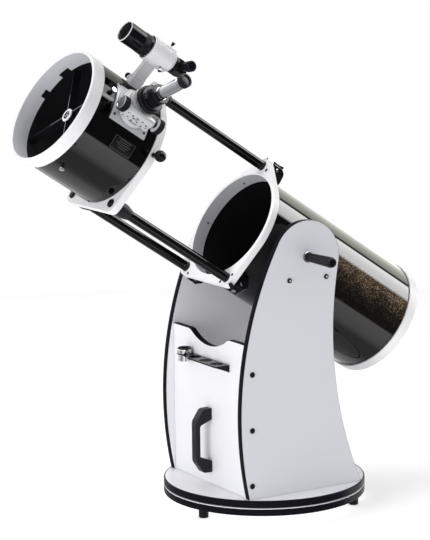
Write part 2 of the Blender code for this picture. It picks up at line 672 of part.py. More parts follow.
FLAT_R = 0.029
FLAT_T = 0.012
AIM = turned(90.0 - FOCUS_ANGLE)
flat = slanted(FLAT_R, FOCUS_S, FOCUS_S + FLAT_T, 1.0, 1.0, 28)
add("secondary_mirror", flat, AIM, "mirror_glass", pivot)
holder = slanted(FLAT_R - 0.002, FOCUS_S + FLAT_T + 0.0005, HUB_LOW - GAP, 1.0, 0.0, 28)
add("secondary_holder", holder, AIM, "black_plastic", pivot)

# ------------------------------------------------------------------ focuser

FOCUSER = on_tube(FOCUS_ANGLE, FOCUS_S)
ALONG_Y = Matrix.Rotation(math.radians(-90.0), 4, "X")         # local +Z runs to +Y
PLATE_HALF = 0.053
PLATE_UPPER = 18.35            # reach round the tube, towards the top and towards the side
PLATE_LOWER = 21.0
PLATE_R = 0.1495
BOSS_R = 0.043
NECK_TOP = 0.190
LOCK_H = 0.172
CRADLE_T = SHAFT_T + 0.0085
plate = arc((0, 0), PLATE_R, 90 - PLATE_LOWER, 90 + PLATE_UPPER, 8)
plate += arc((0, 0), 0.140, 90 + PLATE_UPPER, 90 - PLATE_LOWER, 8)
plate = moved(prism(plate, -PLATE_HALF, PLATE_HALF), CYCLE)
neck = lathe([(0.0, 0.135), (BOSS_R, 0.135), (BOSS_R, 0.1600), (BOSS_R - 0.002, 0.1620),
              (0.0385, 0.1640), (0.0350, 0.1740), (0.0335, NECK_TOP - 0.001), (0.0325, NECK_TOP),
              (0.0, NECK_TOP)], 28)
cradle = box((-0.039, 0.020, 0.155), (0.039, CRADLE_T, NECK_TOP - 0.0005))
body = join(plate, neck, cradle)
tunnel = moved(rod(0.0033, -0.06, 0.06, 16), Matrix.Translation((0, SHAFT_T, SHAFT_H)) @ ALONG_X)
lock_hole = moved(rod(0.0023, 0.037, 0.060, 12), Matrix.Translation((0, 0, LOCK_H)) @ ALONG_Y)
body = cut(body, moved(rod(SEAT, -0.1, 0.1, 80), ALONG_X), rod(DRAW_R + GAP, 0.12, 0.21, 28),
           tunnel, lock_hole)
add("focuser_body", body, FOCUSER, "white_coat", pivot)

draw = [(BARREL_2IN_R + GAP, 0.138), (DRAW_R, 0.138), (DRAW_R, 0.2000), (0.0345, 0.2000),
        (0.0345, 0.2110), (0.0335, 0.2120), (BARREL_2IN_R + GAP, 0.2120)]
add("focus_drawtube", lathe(draw, 28), FOCUSER, "black_plastic", pivot)

KNOB_R = 0.0187
KNOB_END = 0.0610
shaft = [(0.0, -KNOB_END), (KNOB_R - 0.001, -KNOB_END), (KNOB_R, 0.001 - KNOB_END), (KNOB_R, -0.0460),
         (0.008, -0.0445), (0.008, -0.0395), (0.003, -0.0395)]
shaft += [(radius, -along) for radius, along in reversed(shaft)]
place = FOCUSER @ Matrix.Translation((0, SHAFT_T, SHAFT_H)) @ ALONG_X
add("focus_shaft", lathe(shaft, 20), place, "black_plastic", pivot)

lock = [(0.0, 0.0375), (0.002, 0.0375), (0.002, CRADLE_T + 0.0005), (0.0035, CRADLE_T + 0.0005),
        (0.0035, CRADLE_T + 0.0025), (0.0030, CRADLE_T + 0.0030), (0.0, CRADLE_T + 0.0030)]
add("focus_lock_screw", lathe(lock, 12), FOCUSER @ Matrix.Translation((0, 0, LOCK_H)) @ ALONG_Y,
    "chrome", pivot)

ADAPTER_LOW = 0.2120 + GAP
ADAPTER_HIGH = 0.2470
THUMB_H = 0.230
adapter = [(BARREL_1IN_R, 0.190), (BARREL_2IN_R, 0.190), (BARREL_2IN_R, ADAPTER_LOW),
           (0.0300, ADAPTER_LOW), (0.0300, 0.2180), (0.0225, 0.2190), (0.0225, 0.2380),
           (0.0245, 0.2390), (0.0245, ADAPTER_HIGH - 0.001), (0.0235, ADAPTER_HIGH),
           (BARREL_1IN_R, ADAPTER_HIGH)]
adapter = lathe(adapter, 24)
for number, turn in enumerate((-125.0, 35.0), 1):
    side = Matrix.Translation((0, 0, THUMB_H)) @ turned(turn) @ ALONG_X
    adapter = cut(adapter, moved(rod(0.0023, 0.0175, 0.030, 12), side))
    thumb = [(0.0, 0.0180), (0.002, 0.0180), (0.002, 0.0270), (0.0040, 0.0270), (0.0040, 0.0400),
             (0.0, 0.0400)]
    add(f"adapter_screw_{number}", lathe(thumb, 12), FOCUSER @ side, "chrome", pivot)
add("eyepiece_adapter", adapter, FOCUSER, "black_plastic", pivot)

EYEPIECE_R = 0.0145
eyepiece = [(0.0, 0.222), (BARREL_1IN_R - GAP, 0.222), (BARREL_1IN_R - GAP, ADAPTER_HIGH + GAP),
            (EYEPIECE_R, ADAPTER_HIGH + GAP), (EYEPIECE_R, 0.3170), (0.0165, 0.3180), (0.0165, 0.3320),
            (0.0155, 0.3330), (0.0120, 0.3330), (0.0100, 0.3290), (0.0, 0.3290)]
add("eyepiece", lathe(eyepiece, 24), FOCUSER, "chrome", pivot)

# ------------------------------------------------------------------- finder

SHOE = on_tube(FINDER_ANGLE, FINDER_FOOT_S)
SHOE_TOP = 0.1665
SHOE_SCREW = Matrix.Translation((0.0095, 0, 0.1545)) @ Matrix.Rotation(math.radians(90.0), 4, "X")
shoe = [(0.0105, 0.138), (0.0105, SHOE_TOP), (0.0053, SHOE_TOP), (0.0073, SHOE_TOP - 0.0065)]
shoe = shoe + [(-t, h) for t, h in reversed(shoe)]
shoe = moved(prism(shoe, -0.0160, 0.0160), CYCLE)
shoe = cut(shoe, moved(rod(SEAT, -0.1, 0.1, 80), ALONG_X), moved(rod(0.0018, 0.0045, 0.030, 12), SHOE_SCREW))
add("finder_shoe", shoe, SHOE, "black_plastic", pivot)
screw = [(0.0, 0.0060), (0.0015, 0.0060), (0.0015, 0.0109), (0.0048, 0.0109), (0.0048, 0.0135),
         (0.0025, 0.0145), (0.0025, 0.0170), (0.0048, 0.0180), (0.0048, 0.0240), (0.0, 0.0240)]
add("shoe_screw", lathe(screw, 12), SHOE @ SHOE_SCREW, "chrome", pivot)

FINDER = Matrix.Translation((FINDER_H * math.sin(math.radians(FINDER_ANGLE)),
                             FINDER_H * math.cos(math.radians(FINDER_ANGLE)), 0.0))
TO_FINDER = SHOE.inverted() @ FINDER
SLEEVE_IN = 0.0292
SLEEVE_OUT = 0.0316
PLUNGER_ANGLE = 268.0
foot = [(0.0069, 0.1603), (0.0050, 0.1669), (0.0085, 0.1670), (0.0085, 0.1720), (0.0065, 0.1760),
        (0.0065, 0.2115)]
foot = foot + [(-t, h) for t, h in reversed(foot)]
foot = moved(prism(foot, -0.0155, 0.0155), CYCLE)
sleeve = moved(tube(SLEEVE_IN, SLEEVE_OUT, 0.541, 0.606, 28), TO_FINDER)
plunger = moved(rod(0.005, 0.0300, 0.0440, 14), TO_FINDER @ on_tube(PLUNGER_ANGLE, FINDER_SCREW_S))
bracket = join(foot, sleeve, plunger)
for number, turn in enumerate(FINDER_SCREW_ANGLES, 1):
    side = on_tube(turn, FINDER_SCREW_S)
    bracket = cut(bracket, moved(rod(0.0023, 0.020, 0.045, 12), TO_FINDER @ side))
    screw = [(0.0, 0.0258), (0.002, 0.0258), (0.002, 0.0360), (0.0030, 0.0360), (0.0045, 0.0445),
             (0.0, 0.0445)]
    add(f"finder_screw_{number}", lathe(screw, 12), FINDER @ side, "black_plastic", pivot)
add("finder_bracket", bracket, SHOE, "white_coat", pivot)

O_RING_S = 0.601
O_RING_HALF = 0.003
add("finder_o_ring", tube(0.0249, 0.0288, -O_RING_HALF, O_RING_HALF, 28),
    FINDER @ Matrix.Translation((0, 0, O_RING_S)), "rubber", pivot)
scope = [(0.0, 0.533), (0.0245, 0.533), (0.0245, 0.6115), (0.0268, 0.6125), (0.0268, 0.6785),
         (0.0250, 0.6785), (0.0240, 0.6560), (0.0120, 0.6580), (0.0, 0.6585)]
scope = [(radius, along - O_RING_S) for radius, along in scope]
add("finder_tube", lathe(scope, 28), FINDER @ Matrix.Translation((0, 0, O_RING_S)), "white_coat", pivot)

PRISM_HALF = 0.0165
EYE_ANGLE = 79.0
EYE_S = 0.506
prism_box = box((-0.0145, -PRISM_HALF, -PRISM_HALF), (0.0160, PRISM_HALF, PRISM_HALF))
prism_box = join(prism_box, moved(rod(0.0215, 0.0150, 0.533 - GAP - EYE_S, 24), ALONG_X),
                 rod(0.0110, 0.0150, 0.0400, 18),
                 lathe([(0.0, 0.0380), (0.0132, 0.0380), (0.0132, 0.0540), (0.0100, 0.0540),
                        (0.0085, 0.0510), (0.0, 0.0510)], 18))
add("finder_diagonal", prism_box, FINDER @ on_tube(EYE_ANGLE, EYE_S), "black_plastic", pivot)
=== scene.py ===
"""Dobsonian telescope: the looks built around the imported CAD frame.

Every mesh is written in the rest frame of the pack. Parts that belong to the optical
tube are drawn in a tube frame (X to the right, Y up from the axis, Z to the open end)
that is read from the altitude and truss joints.
"""
import json
import math

import bmesh
import bpy
from mathutils import Matrix, Vector
from mathutils.geometry import convex_hull_2d, tessellate_polygon

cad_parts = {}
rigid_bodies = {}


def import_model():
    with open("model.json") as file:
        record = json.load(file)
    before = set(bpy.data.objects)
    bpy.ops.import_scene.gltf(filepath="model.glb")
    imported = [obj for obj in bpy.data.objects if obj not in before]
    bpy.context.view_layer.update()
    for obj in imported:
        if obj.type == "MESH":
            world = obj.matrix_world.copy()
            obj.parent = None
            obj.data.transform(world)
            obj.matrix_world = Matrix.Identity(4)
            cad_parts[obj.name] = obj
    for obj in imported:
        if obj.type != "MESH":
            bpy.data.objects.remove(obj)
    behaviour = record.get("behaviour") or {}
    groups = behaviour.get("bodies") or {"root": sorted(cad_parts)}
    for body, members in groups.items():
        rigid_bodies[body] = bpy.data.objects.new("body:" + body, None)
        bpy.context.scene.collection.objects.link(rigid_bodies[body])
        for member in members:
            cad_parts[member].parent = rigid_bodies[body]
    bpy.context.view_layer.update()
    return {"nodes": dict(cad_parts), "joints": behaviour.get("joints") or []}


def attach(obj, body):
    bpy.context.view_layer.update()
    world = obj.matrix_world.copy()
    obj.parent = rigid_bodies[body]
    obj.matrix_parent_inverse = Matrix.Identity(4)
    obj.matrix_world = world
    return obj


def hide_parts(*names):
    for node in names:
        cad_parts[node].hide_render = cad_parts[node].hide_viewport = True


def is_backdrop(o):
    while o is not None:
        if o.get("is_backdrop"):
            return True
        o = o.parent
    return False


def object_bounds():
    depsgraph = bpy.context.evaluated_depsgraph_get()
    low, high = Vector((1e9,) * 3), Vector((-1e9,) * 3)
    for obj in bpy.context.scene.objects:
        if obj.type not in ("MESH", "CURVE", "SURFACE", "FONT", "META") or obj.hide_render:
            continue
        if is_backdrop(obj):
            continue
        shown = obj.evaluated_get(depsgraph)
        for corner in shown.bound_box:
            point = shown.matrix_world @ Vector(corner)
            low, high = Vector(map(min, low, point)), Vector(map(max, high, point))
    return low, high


for old in list(bpy.data.objects):
    bpy.data.objects.remove(old)
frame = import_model()
NODES = frame["nodes"]
JOINTS = {joint["name"]: joint for joint in frame["joints"]}

# ---- frames

PIVOT = Vector(JOINTS["altitude"]["pos_m"])
AXIS = -Vector(JOINTS["truss_slide"]["axis"]).normalized()
UP = AXIS.cross(Vector((1, 0, 0)))
TUBE = Matrix.Translation(PIVOT) @ Matrix((Vector((1, 0, 0)), UP, AXIS)).transposed().to_4x4()
FROM_TUBE = TUBE.inverted()


def move(x, y, z):
    return Matrix.Translation((x, y, z))


def turned(degrees, axis="Z"):
    return Matrix.Rotation(math.radians(degrees), 4, axis)


ALONG_X = turned(90, "Y")
ALONG_Y = turned(-90, "X")
AGAINST_Y = turned(90, "X")
CYCLE = Matrix(((0, 0, 1, 0), (1, 0, 0, 0), (0, 1, 0, 0), (0, 0, 0, 1)))
SIDEWAYS = Matrix(((1, 0, 0, 0), (0, 0, -1, 0), (0, 1, 0, 0), (0, 0, 0, 1)))
HERE = Matrix()


def on_tube(angle, along):
    """Frame on the tube: X along the axis, Y round it, Z outwards."""
    turn = math.radians(angle)
    outward = Vector((math.sin(turn), math.cos(turn), 0.0))
    around = Vector((math.cos(turn), -math.sin(turn), 0.0))
    return TUBE @ move(0, 0, along) @ Matrix((Vector((0, 0, 1)), around, outward)).transposed().to_4x4()


def in_tube(angle, along):
    """The same frame, seen from the tube's own."""
    return FROM_TUBE @ on_tube(angle, along)


def spot(angle, radius):
    """Point in the tube's cross section."""
    turn = math.radians(angle)
    return radius * math.sin(turn), radius * math.cos(turn)


# ---- mesh tools

def mm(points):
    """Outline given in millimetres; a third value, the share of the flutes, stays as it is."""
    return [(a / 1000, b / 1000, *share) for a, b, *share in points]


def circle(radius, count, centre=(0.0, 0.0)):
    return [(centre[0] + radius * math.cos(2 * math.pi * i / count),
             centre[1] + radius * math.sin(2 * math.pi * i / count)) for i in range(count)]


def arc(centre, radius, start, stop, steps):
    angles = [math.radians(start + (stop - start) * i / steps) for i in range(steps + 1)]
    return [(centre[0] + radius * math.cos(a), centre[1] + radius * math.sin(a)) for a in angles]


def finish(shape):
    bmesh.ops.remove_doubles(shape, verts=shape.verts, dist=1e-6)
    bmesh.ops.recalc_face_normals(shape, faces=shape.faces)
    return shape


def lathe(profile, segments=96, flutes=0, depth=0.0):
    """Turn a closed (radius, height[, flute share]) outline about Z."""
    shape = bmesh.new()
    rings = []
    for radius, height, *share in profile:
        if radius == 0.0:
            rings.append([shape.verts.new((0.0, 0.0, height))])
            continue
        ring = []
        for i in range(segments):
            turn = 2 * math.pi * i / segments
            dip = depth * share[0] * (0.5 - 0.5 * math.cos(flutes * turn)) if share else 0.0
            reach = radius - dip
            ring.append(shape.verts.new((reach * math.cos(turn), reach * math.sin(turn), height)))
        rings.append(ring)
    for i, ring in enumerate(rings):
        following = rings[(i + 1) % len(rings)]
        for j in range(segments):
            corners = [ring[j % len(ring)], ring[(j + 1) % len(ring)],
                       following[(j + 1) % len(following)], following[j % len(following)]]
            unique = list(dict.fromkeys(corners))
            if len(unique) > 2:
                shape.faces.new(unique)
    return finish(shape)


def prism(outline, low, high, holes=()):
    """Straight solid between two heights, with straight holes."""
    loops = [list(outline)] + [list(hole) for hole in holes]
    flat = [point for loop in loops for point in loop]
    triangles = tessellate_polygon([[Vector((x, y, 0.0)) for x, y in loop] for loop in loops])
    shape = bmesh.new()
    bottom = [shape.verts.new((x, y, low)) for x, y in flat]
    top = [shape.verts.new((x, y, high)) for x, y in flat]
    for a, b, c in triangles:
        shape.faces.new((bottom[a], bottom[b], bottom[c]))
        shape.faces.new((top[a], top[b], top[c]))
    first = 0
    for loop in loops:
        for i in range(len(loop)):
            a, b = first + i, first + (i + 1) % len(loop)
            shape.faces.new((bottom[a], bottom[b], top[b], top[a]))
        first += len(loop)
    return finish(shape)


def box(low, high):
    outline = [(low[0], low[1]), (high[0], low[1]), (high[0], high[1]), (low[0], high[1])]
    return prism(outline, low[2], high[2])


def rod(radius, low, high, segments=48):
    return lathe([(0.0, low), (radius, low), (radius, high), (0.0, high)], segments)


def moved(shape, matrix):
    shape.transform(matrix)
    return shape


def place_object(name, data):
    item = bpy.data.objects.new(name, data)
    bpy.context.scene.collection.objects.link(item)
    return item


def merge(*shapes):
    """Several closed shapes in one mesh, not joined."""
    result = bmesh.new()
    for shape in shapes:
        work = bpy.data.meshes.new("work")
        shape.to_mesh(work)
        shape.free()
        result.from_mesh(work)
        bpy.data.meshes.remove(work)
    return result


def combine(base, tool, operation):
    """Boolean of two closed shapes; both are used up."""
    pair = []
    for shape in (base, tool):
        mesh = bpy.data.meshes.new("work")
        shape.to_mesh(mesh)
        shape.free()
        pair.append(place_object("work", mesh))
    modifier = pair[0].modifiers.new("combine", "BOOLEAN")
    modifier.operation = operation
    modifier.solver = "EXACT"
    modifier.object = pair[1]
    depsgraph = bpy.context.evaluated_depsgraph_get()
    mesh = bpy.data.meshes.new_from_object(pair[0].evaluated_get(depsgraph))
    result = bmesh.new()
    result.from_mesh(mesh)
    bpy.data.meshes.remove(mesh)
    for item in pair:
        work = item.data
        bpy.data.objects.remove(item)
        bpy.data.meshes.remove(work)
    return finish(result)


def join(shape, *others):
    for other in others:
        shape = combine(shape, other, "UNION")
    return shape


def cut(shape, *tools):
    for tool in tools:
        shape = combine(shape, tool, "DIFFERENCE")
    return shape


def shifted(path, distance):
    """Open path moved to its left."""
    result = []
    for i, (x, y) in enumerate(path):
        before = path[max(i - 1, 0)]
        after = path[min(i + 1, len(path) - 1)]
        run = Vector((after[0] - before[0], after[1] - before[1])).normalized()
        result.append((x - run.y * distance, y + run.x * distance))
    return result


def sweep(path, section):
    """Carry a (offset, across) section along a flat path; offset is to the path's left."""
    shape = bmesh.new()
    lines = [[(x, y, across) for x, y in shifted(path, offset)] for offset, across in section]
    rings = [[shape.verts.new(point) for point in points] for points in zip(*lines)]
    size = len(section)
    for ring, following in zip(rings, rings[1:]):
        for j in range(size):
            shape.faces.new((ring[j], ring[(j + 1) % size], following[(j + 1) % size], following[j]))
    shape.faces.new(rings[0])
    shape.faces.new(rings[-1])
    return finish(shape)


# ---- materials

class Graph:
    """Short hand for building a node tree."""

    def __init__(self, tree):
        self.tree = tree

    def node(self, kind, inputs=None, **settings):
        made = self.tree.nodes.new(kind)
        for key, value in settings.items():
            setattr(made, key, value)
        for key, value in (inputs or {}).items():
            self.feed(made.inputs[key], value)
        return made

    def feed(self, socket, value):
        if isinstance(value, bpy.types.NodeSocket):
            self.tree.links.new(value, socket)
        else:
            socket.default_value = value

    def ramp(self, factor, stops):
        made = self.node("ShaderNodeValToRGB", {"Fac": factor})
        while len(made.color_ramp.elements) < len(stops):
            made.color_ramp.elements.new(1.0)
        for element, (position, colour) in zip(made.color_ramp.elements, stops):
            element.position = position
            element.color = (*colour, 1.0) if isinstance(colour, tuple) else (colour, colour, colour, 1.0)
        return made.outputs["Color"]

    def coords(self):
        return self.node("ShaderNodeTexCoord").outputs["Object"]

    def math(self, operation, a, b=0.0):
        made = self.node("ShaderNodeMath", {0: a, 1: b}, operation=operation)
        return made.outputs[0]

    def dot(self, a, b):
        made = self.node("ShaderNodeVectorMath", {0: a, 1: b}, operation="DOT_PRODUCT")
        return made.outputs["Value"]

    def angle(self, ray):
        """Angle round the tube's axis, from its top towards the right."""
        return self.math("ARCTAN2", self.dot(ray, (1.0, 0.0, 0.0)), self.dot(ray, tuple(UP)))

    def noise(self, coords, scale, detail=2.0, rough=0.5):
        made = self.node("ShaderNodeTexNoise", {"Vector": coords, "Scale": scale, "Detail": detail,
                                                "Roughness": rough})
        return made.outputs["Fac"]

    def relief(self, height, strength, distance):
        inputs = {"Height": height, "Strength": strength, "Distance": distance}
        return self.node("ShaderNodeBump", inputs).outputs["Normal"]

    def mix(self, factor, a, b):
        made = self.node("ShaderNodeMix", {"Factor": factor}, data_type="RGBA")
        self.feed(made.inputs[6], a)
        self.feed(made.inputs[7], b)
        return made.outputs[2]


def shader_graph(name, base):
    """New material, its graph, its shader and the rest coordinates."""
    material = bpy.data.materials.new(name)
    material.use_nodes = True
    material.diffuse_color = (*base, 1.0)
    g = Graph(material.node_tree)
    return material, g, material.node_tree.nodes["Principled BSDF"], g.coords()


def finish_material(name, base, rough=0.5, metal=0.0, coat=0.0, grain=900.0, bump=0.15, height=0.0002,
                    mottle=0.03, mottle_scale=9.0, rough_spread=0.08, wear=0.0, smudge=30.0, specular=0.5,
                    crevice_shade=0.0):
    """Painted, plated or moulded surface: colour drift, uneven roughness, fine grain, edge wear and painted
    shade in crevices.
    """
    material, g, shader, coords = shader_graph(name, base)
    drift = g.noise(coords, mottle_scale, 3.0)
    light = tuple(min(1.0, c * (1 + mottle)) for c in base) + (1.0,)
    dark = tuple(c * (1 - mottle) for c in base) + (1.0,)
    colour = g.mix(drift, dark, light)
    if wear:
        edge = g.node("ShaderNodeBevel", {"Radius": 0.0012}, samples=4).outputs["Normal"]
        plain = g.node("ShaderNodeNewGeometry").outputs["Normal"]
        lean = g.math("SUBTRACT", 1.0, g.dot(edge, plain))
        scuff = g.math("MULTIPLY", lean, g.math("ADD", g.noise(coords, 120.0), 0.2))
        scuff = g.math("MINIMUM", g.math("MULTIPLY", scuff, 5.0), 1.0)
        worn = tuple(min(1.0, c + wear) for c in base) + (1.0,)
        colour = g.mix(scuff, colour, worn)
    if crevice_shade:
        # painted shade: ambient occlusion darkens the colour in crevices and corners
        open_share = g.node("ShaderNodeAmbientOcclusion", {"Distance": crevice_shade}, samples=6).outputs["AO"]
        painted_shade = g.ramp(open_share, [(0.35, 0.0), (0.85, 1.0)])
        colour = g.mix(painted_shade, tuple(c * 0.22 for c in base) + (1.0,), colour)
    patches = g.noise(coords, smudge, 4.0, 0.6)
    g.feed(shader.inputs["Base Color"], colour)
    g.feed(shader.inputs["Roughness"], g.math("ADD", rough - rough_spread / 2,
                                              g.math("MULTIPLY", patches, rough_spread)))
    for key, value in (("Metallic", metal), ("Coat Weight", coat), ("Coat Roughness", 0.03),
                       ("Specular IOR Level", specular)):
        shader.inputs[key].default_value = value
    if bump:
        g.feed(shader.inputs["Normal"], g.relief(g.noise(coords, grain), bump, height))
    return material


def brushed(name, base, rough, axis_scale):
    """Turned or brushed metal: fine lines stretched along one direction."""
    material = finish_material(name, base, rough, metal=1.0, bump=0.0, mottle=0.04, mottle_scale=40.0)
    g = Graph(material.node_tree)
    shader = material.node_tree.nodes["Principled BSDF"]
    lined = g.node("ShaderNodeMapping", {"Vector": g.coords(), "Scale": axis_scale}).outputs["Vector"]
    g.feed(shader.inputs["Normal"], g.relief(g.noise(lined, 60.0, 3.0), 0.12, 0.0001))
    return material


def flake_paint(name, base, flake, amount, ior=1.5, coat=1.0):
    """Gloss black with metal flake under a clear coat.

    The flake's glint is painted: it shows in a band on the right flank and fades towards the front. coat is
    the clear coat's weight over the top of the tube; the flank has all of it.
    """
    material, g, shader, coords = shader_graph(name, base)
    fine = g.node("ShaderNodeTexVoronoi", {"Vector": coords, "Scale": 1050.0})
    sparkle = g.ramp(fine.outputs["Color"], [(0.0, 0.0), (0.62, 0.0), (0.95, 1.0)])
    clouds = g.ramp(g.noise(coords, 26.0, 4.0, 0.65), [(0.3, 0.35), (0.7, 1.0)])
    coarse = g.node("ShaderNodeTexVoronoi", {"Vector": coords, "Scale": 400.0})
    speck = g.ramp(coarse.outputs["Color"], [(0.0, 0.0), (0.6, 0.02), (1.0, 1.0)])
    place = g.node("ShaderNodeVectorMath", {0: coords, 1: tuple(PIVOT)}, operation="SUBTRACT").outputs[0]
    flank = g.math("DIVIDE", g.angle(place), math.pi)
    # painted glint: the flake shows only in a band on the right flank and fades towards the front
    lit = g.ramp(flank, [(0.0, 0.01), (0.34, 0.03), (0.37, 0.9), (0.4, 1.0), (0.435, 0.5), (0.49, 0.12),
                         (0.55, 0.03), (1.0, 0.03)])
    fade = {"Value": g.dot(place, tuple(AXIS)), "From Min": -0.06, "From Max": -0.16}
    lit = g.math("MULTIPLY", lit, g.node("ShaderNodeMapRange", fade).outputs["Result"])
    grains = g.math("ADD", g.math("MULTIPLY", sparkle, 0.6), g.math("MULTIPLY", speck, 0.6))
    share = g.math("MULTIPLY", grains, g.math("MULTIPLY", g.math("MULTIPLY", clouds, lit), amount))
    tint = g.mix(fine.outputs["Distance"], (*flake, 1.0), (0.85, 0.66, 0.48, 1.0))
    g.feed(shader.inputs["Base Color"], g.mix(g.math("MINIMUM", share, 1.0), (*base, 1.0), tint))
    weight = g.ramp(flank, [(0.0, coat), (0.34, coat), (0.37, 1.0), (1.0, 1.0)])
    g.feed(shader.inputs["Coat Weight"], weight)
    for key, value in (("Roughness", 0.5), ("Specular IOR Level", 0.0), ("Coat IOR", ior),
                       ("Coat Roughness", 0.012)):
        shader.inputs[key].default_value = value
    g.feed(shader.inputs["Coat Normal"], g.relief(g.noise(coords, 160.0), 0.02, 0.0002))
    return material


def laminate(name, base):
    """Satin melamine face: faint cloud in the colour and a very fine pearl texture."""
    return finish_material(name, base, rough=0.42, grain=1400.0, bump=0.1, height=0.0001, mottle=0.012,
                           mottle_scale=5.0, rough_spread=0.1, smudge=14.0, specular=0.4)


FINISHES = {
    "trim": dict(base=(0.007, 0.007, 0.01), rough=0.38, grain=700, bump=0.2, specular=0.02),
    # The three coat entries are one white powder coat at three brightnesses: the lighter copy for the lower
    # and rear rings is painted light, the darker copy for the ring bores painted shade.
    "coat": dict(base=(0.74, 0.74, 0.75), rough=0.45, grain=1100, bump=0.35, mottle=0.015, specular=0.3),
    "coat_bright": dict(base=(0.88, 0.88, 0.885), rough=0.4, grain=1100, bump=0.3, mottle=0.012,
        specular=0.4),
    "coat_shaded": dict(base=(0.52, 0.525, 0.55), rough=0.55, grain=1100, bump=0.3, mottle=0.02),
    # The casting carries painted shade in its crevices.
    "casting": dict(base=(0.52, 0.53, 0.54), rough=0.4, metal=0.2, grain=1500, bump=0.55, mottle=0.09,
        mottle_scale=60, wear=0.25, crevice_shade=0.01),
    "flock": dict(base=(0.006, 0.006, 0.007), rough=0.85, grain=2200, bump=0.6, height=0.0005,
        mottle=0.25, specular=0.1),
    "rod": dict(base=(0.004, 0.004, 0.0045), rough=0.1, grain=500, bump=0.03, rough_spread=0.05,
        specular=0.26),
    "plastic": dict(base=(0.009, 0.009, 0.011), rough=0.36, grain=1300, bump=0.45, mottle=0.1, wear=0.02,
        specular=0.1),
    "charcoal": dict(base=(0.016, 0.016, 0.02), rough=0.42, grain=1500, bump=0.6, mottle=0.1, wear=0.03,
        specular=0.14),
    "gloss_plastic": dict(base=(0.006, 0.006, 0.007), rough=0.12, bump=0.08, wear=0.02, specular=0.16),
    "rubber": dict(base=(0.01, 0.01, 0.011), rough=0.6, grain=1800, bump=0.7, mottle=0.12, specular=0.1),
    "nylon": dict(base=(0.72, 0.72, 0.68), rough=0.45, bump=0.2, mottle=0.04),
    "light_cast": dict(base=(0.5, 0.5, 0.51), rough=0.42, grain=1300, bump=0.4, mottle=0.05),
    "chrome": dict(base=(0.6, 0.6, 0.61), rough=0.1, metal=1, grain=600, bump=0.04, rough_spread=0.06,
        mottle=0.02),
    "mirror": dict(base=(0.92, 0.93, 0.94), rough=0.015, metal=1, bump=0, rough_spread=0.01, mottle=0.01),
    "lens": dict(base=(0.008, 0.007, 0.016), rough=0.1, bump=0, specular=0.12, rough_spread=0.02,
        mottle=0.3, mottle_scale=120),
    "front_lens": dict(base=(0.16, 0.16, 0.18), rough=0.05, bump=0, specular=0.6, rough_spread=0.02,
        mottle=0.3, mottle_scale=60),
    "dark": dict(base=(0.01, 0.01, 0.012), rough=0.6, bump=0.2),
    "ink": dict(base=(0.004, 0.004, 0.004), rough=0.25, bump=0.1, coat=1),
    "print": dict(base=(0.085, 0.082, 0.078), rough=0.5, bump=0.1, specular=0.1),
}
M = {name: finish_material(f"{name}_finish", **look) for name, look in FINISHES.items()}
# The three laminates are one white melamine at three brightnesses, each matched to how light falls on its
# faces: painted light and shade. The darkest goes on the outside of the side panels, the middle one on the
# front board, the lightest on the board tops and the panels' inner faces.
M["panel"] = laminate("panel_finish", (0.655, 0.66, 0.7))
M["board"] = laminate("board_finish", (0.79, 0.79, 0.825))
M["board_top"] = laminate("board_top_finish", (0.88, 0.88, 0.91))
M["tube"] = flake_paint("tube_finish", (0.003, 0.0028, 0.0027), (0.46, 0.27, 0.13), 1.6)
M["tube_upper"] = flake_paint("upper_finish", (0.0016, 0.0015, 0.0015), (0.1, 0.07, 0.05), 0.06, 1.55, 0.3)
M["steel"] = brushed("steel_finish", (0.34, 0.34, 0.35), 0.3, (1.0, 1.0, 14.0))
M["alu"] = brushed("alu_finish", (0.5, 0.51, 0.53), 0.26, (9.0, 9.0, 1.0))

# ---- pieces

SHARP_ANGLE = 34
BEVEL_ANGLE = 36


def shading_group():
    """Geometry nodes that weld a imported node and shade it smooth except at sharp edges."""
    tree = bpy.data.node_groups.new("weld_and_smooth", "GeometryNodeTree")
    tree.interface.new_socket("Geometry", in_out="INPUT", socket_type="NodeSocketGeometry")
    tree.interface.new_socket("Geometry", in_out="OUTPUT", socket_type="NodeSocketGeometry")
    g = Graph(tree)
    source = g.node("NodeGroupInput").outputs[0]
    bare = g.node("GeometryNodeRemoveAttribute", {"Geometry": source, "Name": "custom_normal"})
    welded = g.node("GeometryNodeMergeByDistance", {"Geometry": bare.outputs[0], "Distance": 1e-5})
    soft = welded
    for domain in ("FACE", "EDGE"):
        soft = g.node("GeometryNodeSetShadeSmooth", {"Geometry": soft.outputs[0], "Shade Smooth": True},
                      domain=domain)
    angle = g.node("GeometryNodeInputMeshEdgeAngle").outputs[0]
    sharp = g.node("FunctionNodeCompare", {0: angle, 1: math.radians(SHARP_ANGLE)}, data_type="FLOAT",
                   operation="GREATER_THAN").outputs[0]
    hard = g.node("GeometryNodeSetShadeSmooth", {"Geometry": soft.outputs[0], "Selection": sharp,
                                                 "Shade Smooth": False}, domain="EDGE")
    g.feed(g.node("NodeGroupOutput").inputs[0], hard.outputs[0])
    return tree


SHADING = shading_group()


def round_edges(item, width):
    bevel = item.modifiers.new("edges", "BEVEL")
    bevel.width = width
    bevel.segments = 2
    bevel.limit_method = "ANGLE"
    bevel.angle_limit = math.radians(BEVEL_ANGLE)
    bevel.harden_normals = True
    bevel.use_clamp_overlap = True


def keep(name, material, edge=0.0):
    """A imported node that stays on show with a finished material."""
    item = NODES[name]
    for slot in item.material_slots:
        slot.material = M[material]
    smooth = item.modifiers.new("shading", "NODES")
    smooth.node_group = SHADING
    if edge:
        round_edges(item, edge)
    return item


